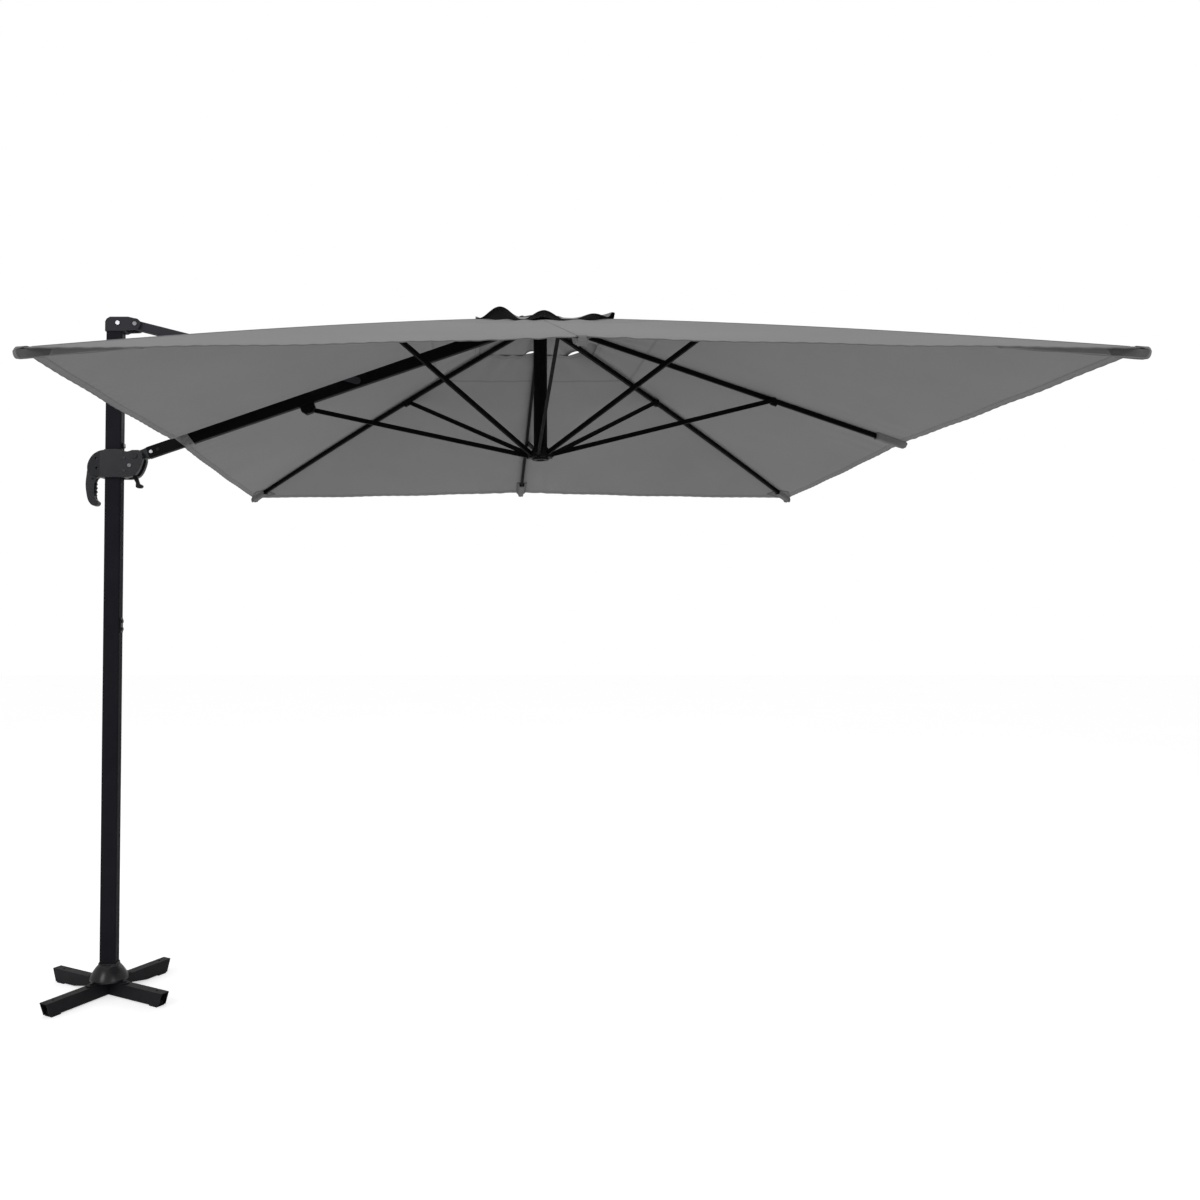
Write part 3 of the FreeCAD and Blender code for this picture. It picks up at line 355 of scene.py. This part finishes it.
def cloth_normal(X, Y, fn=cloth_z, e=0.004):
    zx = (fn(X + e, Y) - fn(X - e, Y)) / (2 * e)
    zy = (fn(X, Y + e) - fn(X, Y - e)) / (2 * e)
    n = np.stack([-zx, -zy, np.ones_like(zx)], -1)
    return n / np.linalg.norm(n, axis=-1, keepdims=True)


class Build:
    """Collects closed thin solids into one mesh, with its own normals, material and tone."""

    def __init__(self):
        self.v, self.f, self.m, self.ln, self.tone = [], [], [], [], []

    def sheet(self, P, N, h, mats=(0, 0, 0), cells=None, tone=None, shift=0.0, under=None):
        """P (rows, cols, 3) middle surface, N its normals, h thickness (scalar or rows x cols)."""
        R, C = P.shape[:2]
        h = np.broadcast_to(h, (R, C))
        if cells is None:
            cells = np.ones((R - 1, C - 1), bool)
        top = P + N * (h / 2 + shift)[..., None]
        bot = P - N * (h / 2 - shift)[..., None]
        base = len(self.v)
        use = np.zeros((R, C), bool)
        use[:-1, :-1] |= cells
        use[1:, :-1] |= cells
        use[:-1, 1:] |= cells
        use[1:, 1:] |= cells
        idx = -np.ones((R, C), int)
        idx[use] = np.arange(use.sum())
        n = int(use.sum())
        self.v.extend(map(tuple, top[use]))
        self.v.extend(map(tuple, bot[use]))
        tn = np.zeros((R, C)) if tone is None else np.broadcast_to(tone, (R, C))
        tv = tn[use].tolist()
        self.tone.extend(tv + tv)
        nv = N
        # cross product test so that the top faces look along the normals
        i, j = np.argwhere(cells)[0]
        d1, d2 = top[i + 1, j] - top[i, j], top[i, j + 1] - top[i, j]
        fwd = float(np.dot(np.cross(d1, d2), nv[i, j])) > 0
        for i, j in np.argwhere(cells):
            quad = [(i, j), (i + 1, j), (i + 1, j + 1), (i, j + 1)]
            if not fwd:
                quad.reverse()
            ids = [int(idx[a]) for a in quad]
            self.f.append([base + k for k in ids])
            self.m.append(mats[0])
            self.ln.extend([tuple(nv[a]) for a in quad])
            self.f.append([base + n + k for k in reversed(ids)])
            self.m.append(mats[1] if under is None else int(under[i, j]))
            self.ln.extend([tuple(-nv[a]) for a in reversed(quad)])
            edges = (((i, j), (i + 1, j), i, j - 1), ((i + 1, j), (i + 1, j + 1), i + 1, j),
                     ((i + 1, j + 1), (i, j + 1), i, j + 1), ((i, j + 1), (i, j), i - 1, j))
            for a, b, ni, nj in edges:
                inside = 0 <= ni < R - 1 and 0 <= nj < C - 1 and cells[ni, nj]
                if inside:
                    continue
                if not fwd:
                    a, b = b, a
                ta, tb = base + int(idx[a]), base + int(idx[b])
                self.f.append([ta, ta + n, tb + n, tb])
                self.m.append(mats[2])
                pa, pb = top[a], top[b]
                fn = np.cross(bot[a] - pa, pb - pa)
                fn = tuple(fn / max(np.linalg.norm(fn), 1e-12))
                self.ln.extend([fn] * 4)

    def make(self, name, mats):
        me = bpy.data.meshes.new(name)
        me.from_pydata(self.v, [], self.f)
        for m in mats:
            me.materials.append(m)
        me.polygons.foreach_set("material_index", self.m)
        me.polygons.foreach_set("use_smooth", [True] * len(self.f))
        att = me.attributes.new("tone", "FLOAT", "POINT")
        att.data.foreach_set("value", np.array(self.tone, np.float32))
        me.update()
        me.normals_split_custom_set(self.ln)
        o = bpy.data.objects.new(name, me)
        SC.collection.objects.link(o)
        return o


def hem_thickness(q):
    return np.interp(q, [.250, .2515, .268, .2695, .4365, .4378, .4445, .4458, 1.4755, 1.4780, 1.4985, 1.5000],
                     [.0016, .0030, .0030, .0015, .0015, .0027, .0027, .0015, .0015, .0031, .0031, .0016])


def hem_tone(q):
    return np.interp(q, [.250, .252, .2535, .2655, .2680, .2700, .4355, .4375, .4395, .4425, .4445, .4465,
                         1.4735, 1.4765, 1.4795, 1.4940, 1.4965, 1.5000],
                     [.90, .70, .25, .25, .75, .00, .00, .85, .30, .30, .85, .00,
                      .00, .95, .25, .25, .80, 1.0])


QS = np.unique(np.round(np.concatenate([
    [.250, .2515, .2535, .2655, .268, .2695], np.arange(.282, .432, .0125), [.4355, .4368, .4378, .4395, .4425, .4445, .4458, .4468],
    np.arange(.459, 1.468, .0130), [1.4735, 1.4755, 1.4780, 1.4800, 1.4860, 1.4940, 1.4965, 1.4985, 1.5000]]), 5))


def body_for(k):
    return "boom" if k == "w" else "rib_" + k


def place(o, k):
    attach(o, body_for(k))
    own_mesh(o)


def panel_points(k):
    """World XY (relative to the canopy axis) of the sheet around rib k, rows along the rib."""
    deg = ANG[k]
    if k == "w":
        qs = np.unique(np.concatenate([QS, [SLIT_A, SLIT_A - .004, SLIT_A - .016, SLIT_B, SLIT_B + .004, SLIT_B + .016]]))
        inner = np.array([0, .007, .014, .021, .028, .032, .044, .052, .062, .073, .084, .095])
        outer = np.linspace(0, 1, 40)[1:]
        rows = []
        for q in qs:
            e = q * T8
            half = np.concatenate([inner, .095 + (e - .095) * outer])
            y = np.concatenate([-half[::-1], half[1:]])
            rows.append(np.stack([np.full_like(y, q), y], -1))
        XY = np.array(rows)
        x, y = turn(XY[..., 0], XY[..., 1], 180)
        rmid = (qs[:-1] + qs[1:]) / 2
        yc = np.abs(XY[..., 1])
        ymid = (yc[:-1, :-1] + yc[:-1, 1:]) / 2
        cells = ~((rmid[:, None] > SLIT_A) & (rmid[:, None] < SLIT_B) & (ymid < SLIT_W))
        return qs, x, y, cells
    s = np.linspace(-1, 1, 97)
    if deg % 90 == 0:
        X = QS[:, None] * np.ones_like(s)[None]
        Y = QS[:, None] * T8 * s[None]
        x, y = turn(X, Y, deg)
    else:
        s = np.linspace(-1, 1, 131)
        cx = np.where(s <= 0, 1.0, 1 - (1 - T8) * s)
        cy = np.where(s <= 0, T8 + (1 - T8) * (1 + s), 1.0)
        X, Y = QS[:, None] * cx[None], QS[:, None] * cy[None]
        x, y = turn(X, Y, deg - 45)
    return QS, x, y, None


def ribbon(b, k, r0, r1, w, side, mat, tone=0.05, edge=0.14, h=0.0009, n=90):
    """Flat seam tape along rib k on the cloth: side +1 on top, -1 below."""
    deg = ANG[k]
    r = np.linspace(r0, r1, n)
    ys = np.array([-w / 2, -w * .30, 0, w * .30, w / 2])
    X = r[:, None] * np.ones_like(ys)[None]
    Y = ys[None] * np.ones_like(r)[:, None]
    x, y = turn(X, Y, deg)
    P = np.stack([HX + x, y, cloth_z(x, y)], -1)
    N = cloth_normal(x, y)
    tn = np.array([edge, tone, tone * .4, tone, edge])[None] * np.ones_like(r)[:, None]
    b.sheet(P, N, h, (mat, mat, mat), tone=tn, shift=side * (FAB / 2 + h / 2 + 0.0002))


for k in ANG:
    b = Build()
    qs, x, y, cells = panel_points(k)
    P = np.stack([HX + x, y, cloth_z(x, y)], -1)
    N = cloth_normal(x, y)
    q = np.maximum(np.abs(x), np.abs(y))
    h, tone = hem_thickness(q), hem_tone(q)
    if k == "w":     # bound edge of the slit for the strut
        dx = np.maximum(np.maximum(SLIT_A - q, q - SLIT_B), 0)
        dy = np.maximum(np.abs(y) - SLIT_W, 0)
        d = np.hypot(dx, dy)
        near = d < 0.0165
        h = np.where(near, 0.0034, h)
        tone = np.maximum(tone, np.interp(d, [0, .003, .005, .013, .0165, .0185], [1.0, .8, .55, .55, .9, 0]))
    b.sheet(P, N, h, (0, 0, 0), cells, tone)
    corner = ANG[k] % 90 != 0
    rmax = (HALF - .024) * (math.sqrt(2) if corner else 1.0) - (.006 if corner else 0)
    rmin = (VENT + .020) * (math.sqrt(2) if corner else 1.0)
    if k == "w":
        ribbon(b, k, rmin, SLIT_A - .018, .016, 1, 0)
        ribbon(b, k, SLIT_B + .018, rmax, .016, 1, 0)
    else:
        ribbon(b, k, rmin, rmax, .016, 1, 0)
        ribbon(b, k, rmin, rmax, .022, -1, 0, tone=0.35, edge=0.8)
    o = b.make("cloth_" + k, [CLOTH, HEM])
    place(o, k)
    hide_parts("canopy_" + k)


# ---------------------------------------------------------------- rib pockets
def rib_z(corner, r):
    r1, z1, bow = (2.112, 2.2098, .014) if corner else (1.494, 2.240, 0.0)
    t = (r - .065) / (r1 - .065)
    return 2.735 + (z1 - 2.735) * t + 4 * bow * t * (1 - t)


def pocket(k):
    """Sewn pouch under the cloth that holds the tip of a rib."""
    corner = ANG[k] % 90 != 0
    deg = ANG[k]
    tip = (HALF - .0004) * (math.sqrt(2) if corner else 1.0)
    cap = .012                                  # rounded end round the ball on the rib tip
    if k in ("sw", "se"):
        r0, r1, w0, w1 = 1.755, 2.1278, .050, .030
    elif corner:
        r0, r1, w0, w1 = 2.000, 2.1278, .130, .030
    else:
        r0, r1, w0, w1 = 1.385, 1.5098, .056, .046
    rs = np.concatenate([np.linspace(r0, r1 - cap, 40 if r1 - r0 > .3 else 22),
                         r1 - cap + cap * np.sin(np.linspace(0, math.pi / 2, 11)[1:]),
                         r1 - np.array([.0006, .0020, .0045, .0080, .0140, .0220, .0300, .0320])])
    over = len(rs) - 8                          # the last rows fold back over the hem as a tongue
    cs = np.linspace(-1, 1, 45)
    slope = math.atan2(rib_z(corner, 1.4) - rib_z(corner, 1.35), .05)
    V, Nn, tone = [], [], []
    for i, r in enumerate(rs):
        g = (r - r0) / (r1 - r0)
        end = math.sqrt(max(0.0, 1 - max(0.0, (r - (r1 - cap)) / cap) ** 2))
        half = (w0 + (w1 - w0) * g) / 2
        if corner:
            half = max(min(half, tip - r + .0015), .0112)
        if i >= over:
            half = .0112 + min(.0030, (r1 - r) * .12)
        elif not corner:
            half = half + (.0118 - half) * (1 - end) ** 1.5
        rr = min(r, tip)
        y = cs * half
        xw, yw = turn(np.full_like(y, rr), y, deg)
        top = cloth_z(xw, yw) - (r - rr) * math.tan(-slope)
        if i >= over:
            z = top + min(.0032, -.0010 + (r1 - r) * 1.0) + .0 * cs
            if corner:                          # the edges of the tongue turn down past the hem
                z = z - .004 * np.clip((np.abs(y) - np.maximum(tip - r, 0) - .001) / .010, 0, 1)
            t = np.where(np.abs(cs) > 0.86, .7, 0) + (0.8 if i == len(rs) - 1 else 0.45 if i == len(rs) - 3 else 0)
        else:
            top = top - .0024
            f = np.clip((0.0175 - np.abs(y)) / 0.0075, 0, 1) if half > .0175 else np.clip((1 - np.abs(cs)) / .10, 0, 1)
            f = f * f * (3 - 2 * f)
            depth = top.max() - (rib_z(corner, r) - 0.0122)
            wrinkle = 0.0007 * np.sin(cs * 9 + g * 14) * f * end
            z = top - depth * end * f - wrinkle
            t = np.where(np.abs(cs) > 0.90, .85, np.where(np.abs(cs) > .80, .2, 0)) + (0.9 if i == 0 else 0.5 if i == 1 else 0)
        xx, yy = turn(np.full_like(y, r), y, deg)
        V.append(np.stack([HX + xx, yy, z], -1))
        tone.append(t)
    P = np.array(V)
    du = np.gradient(P, axis=0)
    dv = np.gradient(P, axis=1)
    N = np.cross(du, dv)
    N /= np.linalg.norm(N, axis=-1, keepdims=True)
    if N[0, 22, 2] > 0:
        N = -N
    b = Build()
    b.sheet(P, N, 0.0015, (0, 0, 0), tone=np.clip(np.array(tone), 0, 1))
    o = b.make("pocket_" + k, [POCKET])
    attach(o, "rib_" + k)
    return o


for k in ANG:
    if k != "w":
        pocket(k)


def boom_point(s, n, y):
    c, sn = math.cos(BANG), math.sin(BANG)
    return (BX + s * c - n * sn, y, BZ + s * sn + n * c)


def boom_collar():
    """Stitched collar of the cloth round the boom where it passes the hem."""
    s_mid = (0.259 - BX) / math.cos(BANG)
    ss = np.concatenate([[s_mid - .008], np.linspace(s_mid - .005, s_mid + .048, 24), [s_mid + .051]])
    n_ang = 65
    V, tone = [], []
    for s in ss:
        g = (s - ss[0]) / (ss[-1] - ss[0])
        row, tr = [], []
        for j in range(n_ang):
            a = 2 * math.pi * j / (n_ang - 1)
            p = 5.0
            ca, sa = math.cos(a), math.sin(a)
            k = (abs(ca) ** p + abs(sa) ** p) ** (-1 / p)
            flare = 0.0008 + 0.0016 * abs(2 * g - 1) ** 3 + 0.0006 * math.sin(9 * a + 11 * g)
            row.append(boom_point(s + (.036 - .018 * g) * (1 - max(-1.0, min(1.0, sa * k))) / 2, (0.0240 + flare + .0008) * k * sa, (0.0150 + flare + .0008) * k * ca))
            tr.append(.8 if g < .05 or g > .95 else (.5 if .12 < g < .15 or .85 < g < .88 else 0))
        V.append(row)
        tone.append(tr)
    P = np.array(V)
    du, dv = np.gradient(P, axis=0), np.gradient(P, axis=1)
    N = np.cross(du, dv)
    N /= np.linalg.norm(N, axis=-1, keepdims=True)
    mid = np.array(boom_point(ss[10], 0, 0))
    if np.dot(N[10, 8], P[10, 8] - mid) < 0:
        N = -N
    N[:, 0] = N[:, -1] = (N[:, 0] + N[:, -1]) / 2
    b = Build()
    b.sheet(P, N, 0.0014, (0, 0, 0), tone=np.array(tone))
    o = b.make("boom_collar", [SLEEVE])
    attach(o, "boom")


boom_collar()


# ---------------------------------------------------------------- vent cap
def cap_lift(side, s):
    """Arches along one side of the cap hem; the near side has its own, uneven ones."""
    s = np.asarray(s, float)
    if side == "s":
        z = np.zeros_like(s)
        for c, w, a in ((-.176, .080, .049), (-.006, .077, .034), (.187, .072, .021)):
            z = np.maximum(z, np.where(np.abs(s - c) < w, a * np.clip(np.cos(math.pi * (s - c) / (2 * w)), 0, 1) ** 1.6, 0))
        return z + .024 * np.exp(-((s - .262) / .011) ** 2)
    if side == "n":
        z = lips(s)
        for a, b in LIPS:
            w = np.clip((s - a) / (b - a), 0, 1)
            z = z + .0165 * np.sin(math.pi * w) ** 0.6
        return z
    a = np.abs(s)
    z = np.where(a <= .095, .034 * np.cos(math.pi * a / .190) ** 2,
                 .034 * np.maximum(0, np.cos(math.pi * (a - .1825) / .175)) ** 2)
    if side == "e":
        z = z + .024 * np.exp(-((s + .262) / .011) ** 2)
    return z


def cap_grid(k, g):
    """Points of the cap over the sector of rib k; g rows from 0 (crown edge) to 1 (hem)."""
    deg = ANG[k]
    s = np.linspace(-1, 1, 41 if deg % 90 == 0 else 61)
    if deg % 90 == 0:
        cx, cy = np.ones_like(s), T8 * s
        cx, cy = turn(cx, cy, deg)
    else:
        cx = np.where(s <= 0, 1.0, 1 - (1 - T8) * s)
        cy = np.where(s <= 0, T8 + (1 - T8) * (1 + s), 1.0)
        cx, cy = turn(cx, cy, deg - 45)
    rho = np.hypot(cx, cy)
    lift = np.zeros_like(cx)
    for i in range(len(cx)):
        if abs(cx[i]) >= abs(cy[i]) - 1e-9:
            lift[i] = cap_lift("e" if cx[i] > 0 else "w", CAP * cy[i])
        else:
            lift[i] = cap_lift("n" if cy[i] > 0 else "s", CAP * cx[i])
    # the crown reaches further along the boom
    wb = np.where(cx < -0.5, np.clip(1 - (np.abs(cy) - .10) / .12, 0, 1), 0)
    wb = wb * wb * (3 - 2 * wb)
    f0 = (CROWN_R + (CROWN_BOOM - CROWN_R) * wb) / (CAP * rho)
    f = f0[None] + (1 - f0[None]) * g[:, None]
    f = np.where(g[:, None] < 0, f0[None] * (1 + g[:, None]), f)
    gg = np.clip(g, 0, 1)[:, None]
    low = (cloth_base(CAP * cx, CAP * cy) + CAP_REST)[None]
    z = CAP_TOP + (low - CAP_TOP) * gg + lift[None] * gg ** 2 - 4 * CAP_SAG * (1 - wb[None]) * gg * (1 - gg)
    # a rounded brow instead of a sharp fold at the crown edge
    z = z - 0.0012 * np.exp(-(g[:, None] / .06) ** 2)
    z = z + 0.0016 * gg * np.sin(34 * np.arctan2(cy, cx))[None] * (1 - gg)
    return HX + CAP * f * cx[None], CAP * f * cy[None], z


def grid_normals(P, up=True):
    du, dv = np.gradient(P, axis=0), np.gradient(P, axis=1)
    N = np.cross(du, dv)
    N /= np.maximum(np.linalg.norm(N, axis=-1, keepdims=True), 1e-12)
    N[(N[..., 2] < 0) == up] *= -1
    return N


G = np.concatenate([[-.20, -.12, -.04], np.linspace(0, .94, 26), [.955, .97, .985, .993, 1.0]])
for k in ANG:
    x, y, z = cap_grid(k, G)
    P = np.stack([x, y, z], -1)
    N = grid_normals(P)
    h = np.interp(G, [0, .945, .955, .993, 1.0], [.0015, .0015, .0029, .0029, .0016])[:, None]
    tone = np.interp(G, [-.2, -.19, .93, .945, .955, .985, .993, 1.0], [.8, 0, 0, .9, .3, .3, .8, 1])[:, None]
    b = Build()
    # the three near sectors take the near-black underside as painted shade, the others the grey underside
    low = 1 if k in ("s", "sw", "se") else 2
    b.sheet(P, N, np.broadcast_to(h, x.shape), (0, low, low), tone=np.broadcast_to(tone, x.shape))
    o = b.make("cap_" + k, [CAPTOP, CAP_UNDER_PAINTED_SHADE, CAPUNDER])
    place(o, k)

# crown patch: stays on the hub, over the folding part of the cap
rr = np.concatenate([[.0006], np.linspace(.006, .060, 10), [.064, .067, .070, .075], np.linspace(.080, .110, 8), [.112]])
aa = np.linspace(0, 2 * math.pi, 97)
rz = np.interp(rr, [0, .060, .067, .070, .112], [CAP_TOP + .0022, CAP_TOP + .0020, CAP_TOP + .0008, CAP_TOP - .0016, CAP_TOP - .0026])
drop = np.clip((rr - CROWN_R) / .032, 0, 1)
P = np.array([[(HX + r * math.cos(a), r * math.sin(a),
               z - .0062 * d * (0.0 if (math.cos(a) < -0.7) else 1.0)) for a in aa] for r, z, d in zip(rr, rz, drop)])
N = np.zeros_like(P)
N[..., 2] = 1
b = Build()
tone = np.interp(rr, [0, .054, .056, .058, .060, .063, .066, .2], [0, 0, .8, 0, 0, .7, .9, .2])[:, None]
b.sheet(P, N, 0.0012, (0, 1, 0), tone=np.broadcast_to(tone, P.shape[:2]))
crown = b.make("cap_crown", [CAPTOP, CAPUNDER])
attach(crown, "hub")
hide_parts("vent_cap")


# ---------------------------------------------------------------- stage
def floor():
    me = bpy.data.meshes.new("floor")
    n, L = 24, 30.0
    xs = np.linspace(-L, L, n + 1)
    v = [(x + 1.5, y, 0.0) for y in xs for x in xs]
    f = [(i * (n + 1) + j, i * (n + 1) + j + 1, (i + 1) * (n + 1) + j + 1, (i + 1) * (n + 1) + j)
         for i in range(n) for j in range(n)]
    me.from_pydata(v, [], f)
    o = bpy.data.objects.new("studio_floor", me)
    SC.collection.objects.link(o)
    t = Nodes("floor_paint")
    col = t.mix(t.ramp(t.noise(0.6, 3.0), 0.3, 0.7), (.905, .905, .905, 1), (.925, .925, .925, 1))
    p = t.new("ShaderNodeBsdfPrincipled", inputs={"Base Color": col, "Roughness": 0.9, "Specular IOR Level": 0.1,
                                                  "Normal": t.bump(t.noise(180.0, 3.0), 0.0003, 0.3)})
    # bright enough to meet the white surround, while soft shadows still show
    ray = t.new("ShaderNodeLightPath").outputs["Is Camera Ray"]
    e = t.new("ShaderNodeEmission", inputs={"Color": (1, 1, 1, 1), "Strength": t.math("ADD", t.math("MULTIPLY", ray, 0.50), 0.085)})
    a = t.new("ShaderNodeAddShader")
    t.nt.links.new(p.outputs[0], a.inputs[0])
    t.nt.links.new(e.outputs[0], a.inputs[1])
    me.materials.append(t.done(a.outputs[0]))


floor()

world = bpy.data.worlds.new("studio")
SC.world = world
world.use_nodes = True
wt = world.node_tree
wt.nodes.clear()
wo = wt.nodes.new("ShaderNodeOutputWorld")
seen = wt.nodes.new("ShaderNodeBackground")
seen.inputs["Color"].default_value = (1, 1, 1, 1)
seen.inputs["Strength"].default_value = 1.0
lit = wt.nodes.new("ShaderNodeBackground")
lit.inputs["Color"].default_value = (1.0, 1.0, 1.0, 1)
lit.inputs["Strength"].default_value = 0.44
lp = wt.nodes.new("ShaderNodeLightPath")
mx = wt.nodes.new("ShaderNodeMixShader")
wt.links.new(lp.outputs["Is Camera Ray"], mx.inputs[0])
wt.links.new(lit.outputs[0], mx.inputs[1])
wt.links.new(seen.outputs[0], mx.inputs[2])
wt.links.new(mx.outputs[0], wo.inputs["Surface"])


def area(name, loc, aim, size, power):
    d = bpy.data.lights.new(name, "AREA")
    d.shape = "RECTANGLE"
    d.size, d.size_y = size
    d.energy = power
    o = bpy.data.objects.new(name, d)
    SC.collection.objects.link(o)
    o.location = loc
    o.rotation_euler = (Vector(aim) - Vector(loc)).to_track_quat("-Z", "Y").to_euler()
    return o


area("key", (-2.8, -5.2, 4.6), (0.6, 0, 1.2), (2.6, 2.6), 80)
area("fill", (5.2, -5.0, 3.2), (1.2, 0, 1.4), (3.0, 3.0), 45)
area("top", (1.6, -0.5, 6.4), (1.6, 0, 0), (4.0, 4.0), 55)
area("back", (2.4, 6.0, 4.2), (1.4, 0, 1.4), (3.0, 3.0), 45)

# ---------------------------------------------------------------- camera
cd = bpy.data.cameras.new("camera")
cam = bpy.data.objects.new("camera", cd)
SC.collection.objects.link(cam)
cd.sensor_width = 36.0
cd.lens = 1012.7 / 1200 * 36.0
cd.clip_start, cd.clip_end = 0.05, 200
cam.location = (1.450, -4.164, 1.4675)
cam.rotation_euler = (math.pi / 2 + 0.0314, 0, 0)
cd.shift_x = 0.0
# the picture is cropped off centre, so the lens is shifted, but only while the camera stands in this place
fc = cd.driver_add("shift_x")
fc.driver.type = "SUM"
for i in range(20):              # the sum is 20 x, because keys closer than 0.01 would merge
    var = fc.driver.variables.new()
    var.name = "x%d" % i
    var.type = "TRANSFORMS"
    var.targets[0].id = cam
    var.targets[0].transform_type = "LOC_X"
    var.targets[0].transform_space = "WORLD_SPACE"
for m in list(fc.modifiers):
    fc.modifiers.remove(m)
fc.keyframe_points.add(4)
for kp, (x, v) in zip(fc.keyframe_points, ((28.80, 0.0), (28.90, 0.1119), (29.10, 0.1119), (29.20, 0.0))):
    kp.co = (x, v)
    kp.interpolation = "LINEAR"
fc.extrapolation = "CONSTANT"
SC.camera = cam

SC.view_settings.view_transform = "Standard"
SC.view_settings.look = "None"
SC.view_settings.exposure = 0.0
SC.view_settings.gamma = 1.0
